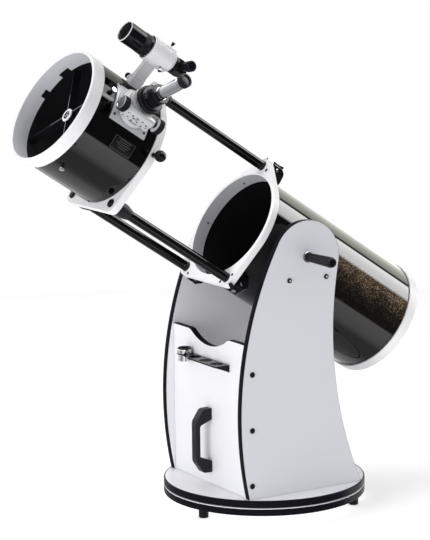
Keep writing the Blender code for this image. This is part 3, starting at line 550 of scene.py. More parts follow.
def piece(name, shape, materials, body, place=HERE, stands_for=None, edge=0.0, paint=None,
          sharp=SHARP_ANGLE):
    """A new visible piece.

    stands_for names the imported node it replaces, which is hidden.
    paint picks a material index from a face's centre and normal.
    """
    names = [materials] if isinstance(materials, str) else materials
    shape.normal_update()
    if paint:
        for face in shape.faces:
            face.material_index = paint(face.calc_center_median(), face.normal)
    shape.transform(place)
    mesh = bpy.data.meshes.new(name)
    shape.to_mesh(mesh)
    shape.free()
    mesh.shade_smooth()
    mesh.set_sharp_from_angle(angle=math.radians(sharp))
    for key in names:
        mesh.materials.append(M[key])
    item = place_object(name, mesh)
    if edge:
        round_edges(item, edge)
    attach(item, body)
    if stands_for:
        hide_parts(stands_for)
    return item


def off_axis(point):
    return math.hypot(point.x, point.y)


def inside_of(radius, slope=2.0):
    """Painter: second material inside a radius, on faces whose normal has less than slope along Z."""
    return lambda c, n: 1 if off_axis(c) < radius and abs(n.z) < slope else 0


def screw(radius, height, low=0.0, slot_kind="cross"):
    """Pan head with a recess, standing on Z."""
    dome = [(0.0, low), (radius, low), (radius, low + height * 0.45), (radius * 0.86, low + height * 0.8),
            (radius * 0.5, low + height), (0.0, low + height)]
    head = lathe(dome, 28)
    if slot_kind == "cross":
        bars = [box((-x, -y, low + height * 0.45), (x, y, 1.0))
                for x, y in ((radius * 0.6, radius * 0.13), (radius * 0.13, radius * 0.6))]
        return cut(head, join(*bars))
    return cut(head, prism(circle(radius * 0.5, 6), low + height * 0.3, 1.0))


def rim_profile(outer, low, high, inner, soft):
    """Rounded outside of a ring, square inside."""
    points = [(inner, low)]
    points += arc((outer - soft, low + soft), soft, -90, 0, 5)
    points += arc((outer - soft, high - soft), soft, 0, 90, 5)
    return points + [(inner, high)]


# ---- base boards

BOARD_R = 0.2552
TRIM_IN = 0.2515
PIVOT_BORE_R = 0.0053
# The ground board ends in a low white lip that shows as a thin line between the two black edges.
LIP_OUT = BOARD_R - 0.001
LIP_IN = TRIM_IN - 0.004
lipped = [(PIVOT_BORE_R, 0.0), (TRIM_IN, 0.0), (TRIM_IN, 0.0174), (LIP_OUT, 0.0174), (LIP_OUT, 0.019),
          (LIP_IN, 0.019), (LIP_IN, 0.0152), (PIVOT_BORE_R, 0.0152)]
flat = [(PIVOT_BORE_R, 0.0215), (TRIM_IN, 0.0215), (TRIM_IN, 0.0382), (PIVOT_BORE_R, 0.0382)]
# The board tops take the lightest copy of the white melamine: painted light.
for name, body, outline, low, high in (("ground_board", "ground", lipped, 0.0, 0.0173),
                                       ("azimuth_board", "rocker", flat, 0.0206, 0.0385)):
    piece(f"{name}_laminate", lathe(outline, 192), "board_top", body, HERE, name)
    edge = rim_profile(BOARD_R, low, high, TRIM_IN - 0.0001, 0.003)
    piece(f"{name}_trim", lathe(edge, 192), "trim", body)
keep("azimuth_bearing", "nylon")
keep("pivot_bolt", "steel", 0.0006)
for number in (1, 2, 3):
    keep(f"foot_{number}", "rubber", 0.0008)

# ---- side panels

PANEL_OUT = 0.19
PANEL_IN = 0.172
PANEL_LOW = 0.0388
HEAD = (0.0075, 0.6195)
HEAD_R = 0.0943
BULGE = (-0.185, 0.235)
REAR_R = 0.95
REAR_Z = 0.43
TRIM_T = 0.0009
TRIM_HALF = 0.0089


def panel_path():
    """Panel's edge in (Y, Z) from the front foot, over the head, to the rear foot."""
    run = HEAD[0] - BULGE[0]
    rise = HEAD[1] - BULGE[1]
    front_r = (run ** 2 + rise ** 2 - HEAD_R ** 2) / (2 * (run - HEAD_R))
    front_y = BULGE[0] + front_r
    rear_y = HEAD[0] + math.sqrt((REAR_R + HEAD_R) ** 2 - (HEAD[1] - REAR_Z) ** 2)
    front_low = 180 + math.degrees(math.asin((BULGE[1] - PANEL_LOW) / front_r))
    front_high = 180 - math.degrees(math.atan2(rise, front_y - HEAD[0]))
    rear_low = 180 + math.degrees(math.asin((REAR_Z - PANEL_LOW) / REAR_R))
    rear_high = 180 - math.degrees(math.atan2(HEAD[1] - REAR_Z, rear_y - HEAD[0]))
    points = arc((front_y, BULGE[1]), front_r, front_low, front_high, 44)
    points += arc(HEAD, HEAD_R, front_high, rear_high - 180, 60)[1:]
    return points + arc((rear_y, REAR_Z), REAR_R, rear_high, rear_low, 36)[1:]


def trim_section(half):
    """D-shaped edging seen end on: lips on both faces, rounded outside."""
    turns = [math.radians(-84 + 12 * i) for i in range(15)]
    outer = [(-TRIM_T * (1 - math.cos(turn)), half * math.sin(turn)) for turn in turns]
    return [(-0.0012, -half)] + outer + [(-0.0012, half)]


SCREW_SPOTS = mm([(-152, 349.5), (-153.2, 210.8), (-154.4, 72.3)])
BUSH_SPOTS = mm([(-44.5, 569.5), (62.5, 569.5)])
edge_path = panel_path()
core_path = shifted(edge_path, -TRIM_T)
core_path[0] = (core_path[0][0], PANEL_LOW)
core_path[-1] = (core_path[-1][0], PANEL_LOW)
for side, sign in (("right", 1), ("left", -1)):
    near = min(sign * PANEL_IN, sign * PANEL_OUT)
    holes = [circle(0.007, 32, (PIVOT.y, PIVOT.z))] + [circle(0.0033, 20, centre) for centre in BUSH_SPOTS]
    core = moved(prism(core_path, near + 0.0003, near + 0.0177, holes), CYCLE)
    # Outer faces and edges take the darker copy of the white melamine and inner faces the lightest copy:
    # painted shade and painted light.
    piece(f"side_panel_{side}_laminate", core, ["panel", "board_top"], "rocker", HERE, f"side_panel_{side}",
          edge=0.0004, paint=lambda c, n: 1 if abs(n.x) > 0.9 and n.x * c.x < 0 else 0)
    edging = moved(sweep(edge_path, trim_section(TRIM_HALF)), CYCLE @ move(0, 0, near + 0.009))
    piece(f"side_panel_{side}_trim", edging, "trim", "rocker", sharp=50)
    facing = ALONG_X if sign > 0 else turned(180) @ ALONG_X
    caps = [moved(lathe(mm([
        (0, -0.2), (7.2, -0.2), (7, 0.8), (5.8, 2), (3.2, 2.7), (0, 2.9)
    ]), 36), move(sign * PANEL_OUT, y, z) @ facing) for y, z in SCREW_SPOTS]
    piece(f"screw_caps_{side}", merge(*caps), "plastic", "rocker")
    heads = [moved(screw(0.0062, 0.0042, 0.0002, "hex"), move(sign * PANEL_OUT, y, z) @ facing)
             for y, z in BUSH_SPOTS]
    piece(f"roller_screws_{side}", merge(*heads), "plastic", "rocker", edge=0.0004)
    for end in ("front", "rear"):
        keep(f"bearing_bush_{side}_{end}", "nylon", 0.0006)

# ---- front board

FRONT_Y = -0.16
FRONT_T = 0.016
FRONT_TOP = 0.42
DIP_HALF = 0.09
DIP_DEPTH = 0.029
half = PANEL_IN - 0.0003
dip_r = (DIP_HALF ** 2 + DIP_DEPTH ** 2) / (2 * DIP_DEPTH)
swing = math.degrees(math.asin(DIP_HALF / dip_r))
dip = arc((0.0, FRONT_TOP - DIP_DEPTH + dip_r), dip_r, -90 - swing, -90 + swing, 48)
soft_dip = [(dip[0][0] - 0.006, FRONT_TOP)] + dip[1:-1] + [(dip[-1][0] + 0.006, FRONT_TOP)]
top_path = [(-half, FRONT_TOP)] + soft_dip + [(half, FRONT_TOP)]
board = [(-half, PANEL_LOW), (half, PANEL_LOW)] + shifted(top_path, -TRIM_T)[::-1]
stand = move(0, FRONT_Y + FRONT_T, 0) @ SIDEWAYS
# The front board takes the middle copy of the white melamine: painted light.
piece("front_board_laminate", prism(board, 0.0003, FRONT_T - 0.0003), "board", "rocker", stand,
      "front_board", edge=0.0004)
piece("front_board_trim", sweep(top_path, trim_section(0.0081)), "trim", "rocker",
      stand @ move(0, 0, FRONT_T / 2), sharp=50)

HANDLE_AT = move(0, FRONT_Y - 0.0003, 0.1512)
grip = mm([(0, 81.5), (-21.5, 81.2), (-26.2, 78.5), (-43.2, 53), (-44.7, 47.5)])
inside = mm([(0, 53), (-30, 41.5), (-33.5, 37.5)])
outline = grip + [(y, -z) for y, z in reversed(grip)] + [(y, -z) for y, z in inside] + inside[::-1]
handle = moved(prism(outline, -0.0115, 0.0115), CYCLE)
ribs = [box((-0.01, -0.0462, -0.042 + 0.0056 * i), (0.01, -0.044, -0.0392 + 0.0056 * i)) for i in range(16)]
piece("carry_handle_grip", handle, "charcoal", "rocker", HANDLE_AT, "carry_handle", edge=0.0009)
piece("carry_handle_ribs", merge(*ribs), "charcoal", "rocker", HANDLE_AT, edge=0.0005)

# ---- eyepiece tray

TRAY_AT = move(0, FRONT_Y - 0.0003, 0.3585)
TRAY_X = (-0.086, -0.034, 0.018, 0.07)
TRAY_RIGHT = 0.0975
HOLE_Y = -0.0195
shelf = [(TRAY_RIGHT, 0.0), (TRAY_X[0] - 0.0192, 0.0)] + arc((TRAY_X[0], HOLE_Y), 0.0192, 180, 300, 30)
shelf += [(-0.034, -0.0395), (-0.03, -0.04), (TRAY_RIGHT - 0.002, -0.04), (TRAY_RIGHT, -0.038)]
tray = join(prism(shelf, -0.0015, 0.0, [circle(0.0163, 56, (x, HOLE_Y)) for x in TRAY_X]),
            box((TRAY_X[0] - 0.0192, -0.0015, -0.0186), (TRAY_RIGHT, 0.0, -0.0008)),
            box((-0.0295, -0.0399, -0.004), (TRAY_RIGHT - 0.0004, -0.0385, -0.0008)),
            moved(prism(mm([(-0.8, -0.8), (-39.2, -0.8), (-39.2, -3.7), (-0.8, -18.1)]),
                        TRAY_RIGHT - 0.0015, TRAY_RIGHT - 0.0004), CYCLE))
piece("eyepiece_tray_steel", tray, "gloss_plastic", "rocker", TRAY_AT, "eyepiece_tray", edge=0.0003)
pins = [moved(screw(0.003, 0.0018), move(x, -0.0014, -0.0105) @ AGAINST_Y)
        for x in (-0.06, 0.044)]
piece("tray_screws", merge(*pins), "steel", "rocker", TRAY_AT)

spare = lathe(mm([
    (14, -19), (14.9, -19), (15.8, -18.2), (15.8, -12), (15, -11.4), (15, -6.4), (15.8, -5.8),
    (15.8, 0.3), (18.1, 0.3), (18.6, 0.8), (18.6, 10), (18.1, 10.6), (16.8, 11.2), (16.5, 11.8),
    (16.5, 14), (15.6, 15), (14, 15)
]), 96)
thumb = lathe(mm([
    (0, 17), (1.6, 17), (1.6, 23.5), (2.5, 24, 1), (2.5, 33.5, 1), (2, 34), (0, 34)
]), 48, flutes=12, depth=0.0004)
thumb.transform(move(0, 0, 0.006) @ turned(-90, "Y"))
piece("spare_adapter_body", merge(spare, thumb), ["chrome", "plastic", "dark"], "spare_adapter",
      TRAY_AT @ move(TRAY_X[0], HOLE_Y, 0), "spare_adapter",
      paint=lambda c, n: 1 if c.z > 0.0109 else 2 if off_axis(c) < 0.0145 else 0)

# ---- tube bodies

TUBE_R = 0.145
INNER_R = 0.1435
RING_R = 0.149
BORE_R = 0.1395
RODS = {"top": 0.0, "right": 145.0, "left": -145.0}
ROD_CIRCLE_R = 0.1655
ROUND = 192
shell = lathe([(INNER_R, -0.396), (TUBE_R, -0.396), (TUBE_R, 0.1017), (INNER_R, 0.1017)], ROUND)
piece("lower_tube_shell", shell, ["tube", "flock"], "tube", TUBE, "lower_tube",
      paint=lambda c, n: 0 if n.x * c.x + n.y * c.y > 0 and off_axis(c) > 0.144 else 1)


def ring_plate(low, high, hole_r, rod_r):
    """Flat ring with three ears, outline drawn tight round the ring and the rods."""
    cloud = circle(RING_R, ROUND)
    centres = [spot(angle, ROD_CIRCLE_R) for angle in RODS.values()]
    for centre in centres:
        cloud += circle(0.0215, 72, centre)
    outline = [cloud[i] for i in convex_hull_2d([Vector(point) for point in cloud])]
    holes = [circle(hole_r, ROUND)] + ([circle(rod_r, 48, centre) for centre in centres] if rod_r else [])
    return prism(outline, low, high, holes)


plate = ring_plate(0.102, 0.119, 0.1425, 0.013)
# The lower ring takes the lighter copy of the white coat, its bore the darker copy: painted light and shade.
piece("lower_ring_plate", plate, "coat_bright", "tube", TUBE, "lower_ring", edge=0.0014)
collar = [(BORE_R, 0.084), (0.1432, 0.084), (0.1432, 0.1016), (0.1424, 0.1024), (0.1424, 0.1188),
          (0.1462, 0.1188), (0.1456, 0.1196), (0.1445, 0.1202), (0.1412, 0.1202), (BORE_R, 0.119)]
piece("lower_ring_collar", lathe(collar, ROUND), ["coat_bright", "coat_shaded"], "tube", TUBE,
      paint=inside_of(0.1402))
dots = [moved(lathe(mm([(0, 118.8), (3.8, 118.8), (3.8, 119.3), (2.6, 119.8), (0, 119.8)]), 24),
              move(*spot(angle, radius), 0.0)) for angle, radius in ((-153.7, 0.1684), (137.9, 0.1678),
                                                                    (152.4, 0.1688), (-137.9, 0.1678))]
dots.append(moved(lathe(mm([(0, 119.2), (4.2, 119.2), (4, 120), (3, 120.6), (0, 120.6)]), 28),
                  move(*spot(9.5, 0.1585), 0.0)))
dots.append(moved(rod(0.0026, 0.1188, 0.1194, 24), move(*spot(1.5, 0.187), 0.0)))
piece("lower_ring_screws", merge(*dots), "plastic", "tube", TUBE)
inner_dots = [moved(rod(0.0026, 0.1384, 0.1398, 20), in_tube(angle, 0.097))
              for angle in (-152, -92, -32, 28, 88, 148)]
piece("lower_sleeve_screws", merge(*inner_dots), "dark", "tube", TUBE)

plate = ring_plate(0.478, 0.496, 0.1425, 0.0)
piece("upper_ring_plate", plate, "coat", "upper", TUBE, "upper_ring", edge=0.0014)
collar = [(BORE_R, 0.477), (0.1462, 0.477), (0.1465, 0.4776), (0.1424, 0.4782), (0.1424, 0.4955),
          (0.1432, 0.4963), (0.1432, 0.512), (BORE_R, 0.512)]
# The bore side takes the darker copy of the white coat: painted shade.
piece("upper_ring_collar", lathe(collar, ROUND), ["coat", "coat_shaded"], "upper", TUBE,
      paint=inside_of(0.1402))
caps = [moved(lathe(mm([(0, 495.5), (10.5, 495.5), (10.5, 498.5), (9.8, 500), (7, 501.2), (0, 501.6)]), 44),
              move(*spot(angle, ROD_CIRCLE_R + 0.0005), 0.0)) for angle in RODS.values()]
piece("upper_ring_rod_caps", merge(*caps), "plastic", "upper", TUBE)
keep("ball_knob", "gloss_plastic")

shell = lathe([(INNER_R, 0.4963), (TUBE_R, 0.4963), (TUBE_R, 0.6997), (INNER_R, 0.6997)], ROUND)
drills = [moved(rod(0.0021, 0.135, 0.155, 16), in_tube(146 + 90 * i, 0.648)) for i in range(4)]
opening = moved(rod(0.0315, 0.1, 0.16, 64), in_tube(60.2, 0.5806))
piece("upper_tube_shell", cut(shell, merge(*drills), opening), ["tube_upper", "flock"], "upper", TUBE,
      "upper_tube", paint=lambda c, n: 0 if n.x * c.x + n.y * c.y > 0 and off_axis(c) > 0.1445 else 1)
tab_screws = []
for along in (0.668, 0.501):
    tab_screws += [moved(screw(0.003, 0.0018, 0.1449), in_tube(-1 + 60 * i, along))
                   for i in range(6) if along < 0.6 or i != 1]
piece("ring_tab_screws", merge(*tab_screws), "plastic", "upper", TUBE)


def patch(start, stop, low, high, inner, outer, steps=24):
    """Curved slab on the tube, angles from the top towards the right."""
    start, stop = 90 - start, 90 - stop
    return prism(arc((0, 0), outer, start, stop, steps) + arc((0, 0), inner, stop, start, steps), low, high)


LINE_BAND = (TUBE_R, TUBE_R + 0.00032)
LINE_INSETS = (0.004, 0.009, 0.002, 0.007, 0.012)
plate_lines = [patch(91.4 + 1.9 * i, 91.85 + 1.9 * i, 0.5435 + inset, 0.59 - inset, *LINE_BAND, 4)
               for i, inset in enumerate(LINE_INSETS)]
plate_lines += [patch(start, start + 0.25, 0.5375, 0.596, *LINE_BAND, 4) for start in (90.2, 103.0)]
plate_lines += [patch(90.2, 103.25, low, low + 0.0006, *LINE_BAND) for low in (0.537, 0.5959)]
piece("blank_label", patch(90.0, 103.5, 0.536, 0.5975, 0.1446, 0.1452), "ink", "upper", TUBE, edge=0.0001)
piece("blank_label_lines", merge(*plate_lines), "print", "upper", TUBE)

profile = mm([(140.5, 663.5), (143.2, 663.5), (143.2, 700), (145.3, 700), (145.3, 674)])
profile += arc((RING_R - 0.0012, 0.6752), 0.0012, -90, 0, 4)
profile += arc((RING_R - 0.0022, 0.7048), 0.0022, 0, 90, 6)
profile += mm([(142.5, 707), (141.2, 706.4), (140.5, 705)])
notches = merge(*[patch(start, stop, 0.655, 0.676, 0.135, 0.1445, 10)
                  for start, stop in ((-50, -37), (-78, -69.5))])
# The bore side takes the darker copy of the white coat: painted shade.
piece("front_ring_rim", cut(lathe(profile, ROUND), notches), ["coat", "coat_shaded"], "upper", TUBE,
      "front_ring", paint=inside_of(0.141))

# ---- rear ring, cell and mirror

# The rear ring takes the lighter copy of the white coat: painted light.
keep("rear_ring", "coat_bright", 0.0008)
keep("mirror_cell", "steel", 0.0005)
keep("primary_mirror", "mirror")
for number in (1, 2, 3):
    keep(f"collimation_knob_{number}", "plastic", 0.0006)
for side in ("right", "left"):
    keep(f"altitude_bearing_{side}", "plastic", 0.0008)

handle = mm([
    (0, 150), (5, 150), (5, 190.5), (13.2, 190.5), (13.6, 191), (13.6, 193.2), (12.8, 194.2), (10, 194.6),
    (10, 196), (10.8, 197.2, 1)
])
handle += [(0.0108 + 0.0024 * i / 10, 0.198 + 0.0092 * i, 1) for i in range(1, 11)]
handle += mm([(13, 292.5, 1), (12.2, 297, 1), (10.4, 299, 0.6), (4, 299), (0, 298.4)])
piece("tension_handle_grip", lathe(handle, 180, flutes=10, depth=0.0024), ["gloss_plastic", "steel"],
      "tension_handle", TUBE @ ALONG_X, "tension_handle",
      paint=lambda c, n: 1 if 0.19 < c.z < 0.1947 else 0)

# ---- truss

ROD_R = 0.0125
for name, angle in RODS.items():
    at = TUBE @ move(*spot(angle, ROD_CIRCLE_R), 0.0)
    bar = lathe([(0.0, 0.0645), (ROD_R - 0.0012, 0.0645), (ROD_R, 0.0657), (ROD_R, 0.44), (0.0, 0.44)], 64)
    piece(f"truss_rod_{name}_bar", bar, "rod", "upper", at, f"truss_rod_{name}")
    flare = mm([(12, 439), (13.5, 439), (14, 439.6), (15, 444), (17.8, 453.5), (18.5, 456.5), (18.5, 476),
                (18, 476.7), (12, 476.7)])
    piece(f"truss_collar_{name}", lathe(flare, 72), "charcoal", "upper", at)
    side = mm([(64, 135), (101.7, 135), (101.7, 182.5), (71.5, 182.5), (63, 176), (60.5, 169), (60.5, 150)])
    body = moved(prism(side, -0.0165, 0.0165), SIDEWAYS)
    bore = moved(rod(ROD_R + 0.0003, -0.01, 0.14), move(0, 0, ROD_CIRCLE_R) @ ALONG_X)
    saddle = moved(rod(TUBE_R + 0.0003, -0.01, 0.14, ROUND), ALONG_X)
    seams = [box((0.05, low, 0.165), (0.12, low + 0.0013, 0.166)) for low in (-0.017, 0.0157)]
    body = cut(body, saddle, bore, moved(rod(0.0033, 0.1795, 0.195, 24), move(0.092, 0, 0)), merge(*seams))
    piece(f"rod_clamp_{name}_housing", body, "plastic", "tube", on_tube(angle, 0.0), f"rod_clamp_{name}",
          edge=0.0013)
    cross = [moved(screw(0.0042, 0.0022, 0.0164), move(0.084, 0, 0.1735)
                   @ turned(turn, "X")) for turn in (90, -90)]
    piece(f"rod_clamp_{name}_screws", merge(*cross), "chrome", "tube", on_tube(angle, 0.0))
    post = lathe(mm([
        (0, 180), (3, 180), (3, 186.5), (4.8, 186.5), (5.2, 187), (5.2, 191.8), (4.2, 193.2), (0, 193.7)
    ]), 44)
    arm = mm([
        (0, -4.4), (-25, -5.4), (-28.5, -4.4), (-30, -1.8), (-30, 1.8), (-28.5, 4.4), (-25, 5.4), (0, 4.4)
    ])
    tail = moved(prism(circle(0.0042, 32), 0.1872, 0.1922), move(-0.0262, 0, 0))
    recess = box((-0.0032, -0.0006, 0.1924), (0.0032, 0.0006, 0.2))
    lever = cut(join(post, prism(arm, 0.188, 0.1905), tail), recess)
    piece(f"clamp_lever_{name}_arm", lever, ["plastic", "chrome"], f"clamp_lever_{name}",
          on_tube(angle, 0.092) @ turned(150.0 if name == "right" else 0.0), f"clamp_lever_{name}",
          edge=0.0004, paint=inside_of(0.0056))

# ---- spider and secondary

SPIDER = TUBE @ turned(-146) @ move(0, 0, 0.6505)
vanes = [moved(box((-0.0005, start, -0.011), (0.0005, stop, 0.01)), turned(turn))
         for turn in (0, 90, 180, 270) for start, stop in ((0.004, 0.06), (0.06, 0.1426))]
# painted highlight: the vanes' front and back edges take steel only near the hub and stay black further out
piece("spider_vanes", merge(*vanes), ["plastic", "steel"], "upper", SPIDER, "spider",
      paint=lambda c, n: 1 if abs(n.z) > 0.7 and off_axis(c) < 0.06 else 0)
hub = lathe(mm([
    (0, -18.5), (16, -18.5), (17, -17.5), (17, 8), (16.2, 10), (14, 10.5), (10.8, 10.5), (10.4, 8.5),
    (0, 8.5)
]), 72)
piece("spider_hub", hub, ["coat", "plastic"], "upper", SPIDER,
      paint=lambda c, n: 1 if c.z < 0.0078 or off_axis(c) < 0.0106 else 0)
hub_screws = [moved(screw(0.0021, 0.0026, 0.008, "hex"), turned(turn) @ move(0, 0.0068, 0))
              for turn in (30, 150, 270)]
hub_screws.append(screw(0.0026, 0.003, 0.008))
piece("spider_hub_screws", merge(*hub_screws), "chrome", "upper", SPIDER)
nuts = []
for turn in range(4):
    nut = lathe(mm([
        (0, 142), (1.8, 142), (1.8, 145.3), (5, 145.3), (5, 149), (6.6, 149.7), (7, 150.3, 1),
        (7, 155.6, 1), (6.4, 156.6), (4.6, 157), (0, 157)
    ]), 72, flutes=18, depth=0.0006)
    nuts.append(moved(nut, in_tube(146 + 90 * turn, 0.648)))
piece("spider_nuts", merge(*nuts), "chrome", "upper", TUBE)
keep("secondary_mirror", "mirror")
keep("secondary_holder", "plastic", 0.0006)

# ---- focuser

FOCUSER = on_tube(60.2, 0.5806)
SHAFT = move(0, 0.0335, 0.183)
plate = arc((0, 0), 0.1495, 69, 108.35, 24) + arc((0, 0), 0.14, 108.35, 69, 24)
plate = moved(prism(plate, -0.053, 0.053), CYCLE)
neck = lathe(mm([
    (0, 135), (46.5, 135), (46.5, 154.5), (45.8, 155.6), (44, 155.6), (43.3, 154.5), (43.3, 153.5),
    (43, 153.5), (43, 159.6), (42.4, 161), (41, 162), (38.5, 164), (36.8, 168), (35, 174), (33.8, 177),
    (0, 177)
]), 96)
cradle = moved(prism(mm([
    (18, 155), (42.5, 155), (42.5, 180), (40, 187), (35, 190.5), (30, 190.5), (18, 180)
]), -0.039, 0.039), CYCLE)
bores = [moved(rod(0.1453, -0.1, 0.1, ROUND), ALONG_X), rod(0.0293, 0.12, 0.21, 72),
         moved(rod(0.0033, -0.06, 0.06, 24), SHAFT @ ALONG_X),
         moved(rod(0.0023, 0.037, 0.06, 20), move(0, 0, 0.172) @ ALONG_Y)]
cast = cut(join(plate, neck, cradle), *bores)
piece("focuser_casting", cast, ["casting", "dark"], "upper", FOCUSER, "focuser_body",
      edge=0.0011, paint=inside_of(0.0296, 0.5))
corner = [moved(screw(0.0034, 0.002, 0.149, "hex"), turned(-turn, "X") @ move(x, 0, 0))
          for x in (-0.046, 0.046) for turn in (-18.0, 15.4)]
piece("focuser_plate_screws", merge(*corner), "dark", "upper", FOCUSER, edge=0.0002)
CRADLE_HOLES = ((-34, 164, 2.0), (-21, 160, 2.4), (-6, 164, 2.0), (8, 160, 2.4), (22, 164, 2.0),
                (34, 160, 2.0), (-14, 176, 2.2), (2, 177, 1.8), (16, 176, 2.4), (30, 177, 1.8))
# painted shade: dark discs on the cradle's face stand in for the shade inside its screw holes
holes = [moved(rod(radius / 1000, 0.0415, 0.0428, 20), move(x / 1000, 0, z / 1000) @ ALONG_Y)
         for x, z, radius in CRADLE_HOLES]
piece("cradle_hole_shade", merge(*holes), "dark", "upper", FOCUSER)
cover = [moved(screw(0.003, 0.0016, 0.0424), move(x, 0, z) @ ALONG_Y)
         for x, z in ((-0.028, 0.172), (0.009, 0.17))]
piece("cradle_screws", merge(*cover), "chrome", "upper", FOCUSER)
band = lathe(mm([
    (29.3, 177), (33.8, 177), (34.4, 177.6), (34.4, 183.5), (33.8, 184), (33.8, 185), (34.4, 185.5),
    (34.4, 189.4), (33.8, 190), (29.3, 190)
]), 120)
piece("focuser_collar", band, "light_cast", "upper", FOCUSER)
# painted shadow: a thin dark ring where the neck meets the collar
neck_shadow_ring = lathe(mm([(33, 176), (35.2, 176), (35.2, 176.7), (33, 176.7)]), 96)
piece("neck_shadow_line", neck_shadow_ring, "dark", "upper", FOCUSER)

draw = lathe(mm([
    (25.7, 138), (29, 138), (29, 199.6), (30, 200), (34, 200), (34.5, 200.5, 1), (34.5, 211.2, 1),
    (33.8, 212), (25.7, 212)
]), 180, flutes=60, depth=0.0007)
piece("focus_drawtube_body", draw, ["plastic", "alu", "dark"], "drawtube", FOCUSER, "focus_drawtube",
      paint=lambda c, n: 2 if off_axis(c) < 0.0262 and abs(n.z) < 0.5 else 1 if c.z < 0.1999 else 0)
half_shaft = mm([
    (0, -61), (6, -61), (6.4, -60.2), (14, -60.2), (14.6, -61), (17.6, -60.8), (18.7, -59.8, 1),
    (18.7, -47, 1), (17.8, -46), (8.2, -45.2), (8, -44), (8, -39.6), (3, -39.6)
])
shaft = half_shaft + [(row[0], -row[1], *row[2:]) for row in reversed(half_shaft)]
piece("focus_knobs", lathe(shaft, 160, flutes=40, depth=0.0009), ["rubber", "alu", "light_cast"],
      "focus_shaft", FOCUSER @ SHAFT @ ALONG_X, "focus_shaft",
      paint=lambda c, n: 0 if off_axis(c) > 0.0176 or abs(n.z) < 0.5 else 1 if abs(c.z) > 0.055 else 2)
keep("focus_lock_screw", "chrome", 0.0002)

adapter = lathe(mm([
    (15.8, 190), (25.4, 190), (25.4, 212.3), (29.6, 212.3), (30, 212.8), (30, 217.2), (29.4, 218),
    (23.2, 218.8), (22.5, 219.6), (22.5, 237.6), (23.2, 238.8), (24.1, 239), (24.5, 239.6), (24.5, 245.6),
    (23.8, 246.8), (15.8, 247)
]), 120)
THUMB_SIDES = {1: -125.0, 2: 35.0}
for number, turn in THUMB_SIDES.items():
    side = move(0, 0, 0.23) @ turned(turn) @ ALONG_X
    adapter = cut(adapter, moved(rod(0.0023, 0.0175, 0.03, 20), side))
    thumb = lathe(mm([
        (0, 18), (2, 18), (2, 26.4), (3, 26.8), (3.6, 27.2), (4.1, 28.4, 1), (4.1, 39, 1), (3.4, 40),
        (0, 40)
    ]), 72, flutes=18, depth=0.0005)
    piece(f"adapter_thumbscrew_{number}", thumb, ["chrome", "plastic"], f"adapter_screw_{number}",
          FOCUSER @ side, f"adapter_screw_{number}",
          paint=lambda c, n: 1 if c.z > 0.033 or c.z < 0.024 else 0)
piece("eyepiece_adapter_body", adapter, ["gloss_plastic", "dark"], "drawtube", FOCUSER, "eyepiece_adapter",
      paint=inside_of(0.0162, 0.5))

ocular = lathe(mm([
    (0, 222), (15, 222), (15.5, 222.5), (15.5, 247.3), (14.5, 247.4), (14.5, 311), (14, 311.4), (14, 313),
    (14.5, 313.4), (14.5, 316.6), (15.8, 317.6), (16.5, 318.4, 1), (16.5, 331, 1), (16, 332.4), (15, 333),
    (12.4, 333), (10.4, 329.6), (7, 330.2), (0, 330.6)
]), 144, flutes=36, depth=0.0006)
piece("eyepiece_body", ocular, ["alu", "plastic", "lens"], "eyepiece", FOCUSER, "eyepiece",
      paint=lambda c, n: 2 if c.z > 0.325 and off_axis(c) < 0.0104 and n.z > 0.5 else
      1 if c.z > 0.3168 else 0)

# ---- finder

FINDER_ANGLE = 22.0
SHOE = on_tube(FINDER_ANGLE, 0.574)
SHOE_SCREW = move(0.0095, 0, 0.1545) @ AGAINST_Y
base = mm([(10.5, 138), (10.5, 166), (10, 166.5), (5.3, 166.5), (7.3, 160)])
base += [(-t, h) for t, h in reversed(base)]
base = cut(moved(prism(base, -0.016, 0.016), CYCLE), moved(rod(0.1453, -0.1, 0.1, ROUND), ALONG_X),
           moved(rod(0.0018, 0.0045, 0.03, 20), SHOE_SCREW))
piece("finder_shoe_cast", base, "light_cast", "upper", SHOE, "finder_shoe", edge=0.0006)
clamp = lathe(mm([
    (0, 6), (1.5, 6), (1.5, 10.9), (5.4, 10.9), (6, 11.3), (6, 13.6), (5.4, 14.2), (2.8, 14.6), (2.8, 17),
    (5, 17.6, 1), (5.6, 18.2, 1), (5.6, 24.6, 1), (4.8, 25.2), (3.4, 25.6), (3.4, 27.2), (7.2, 27.6),
    (7.6, 28.1), (7.6, 31.6), (7, 32.2), (0, 32.2)
]), 72, flutes=14, depth=0.0008)
piece("shoe_screw_knob", clamp, ["chrome", "plastic"], "shoe_screw", SHOE @ SHOE_SCREW, "shoe_screw",
      paint=lambda c, n: 0 if 0.0143 < c.z < 0.0254 else 1)

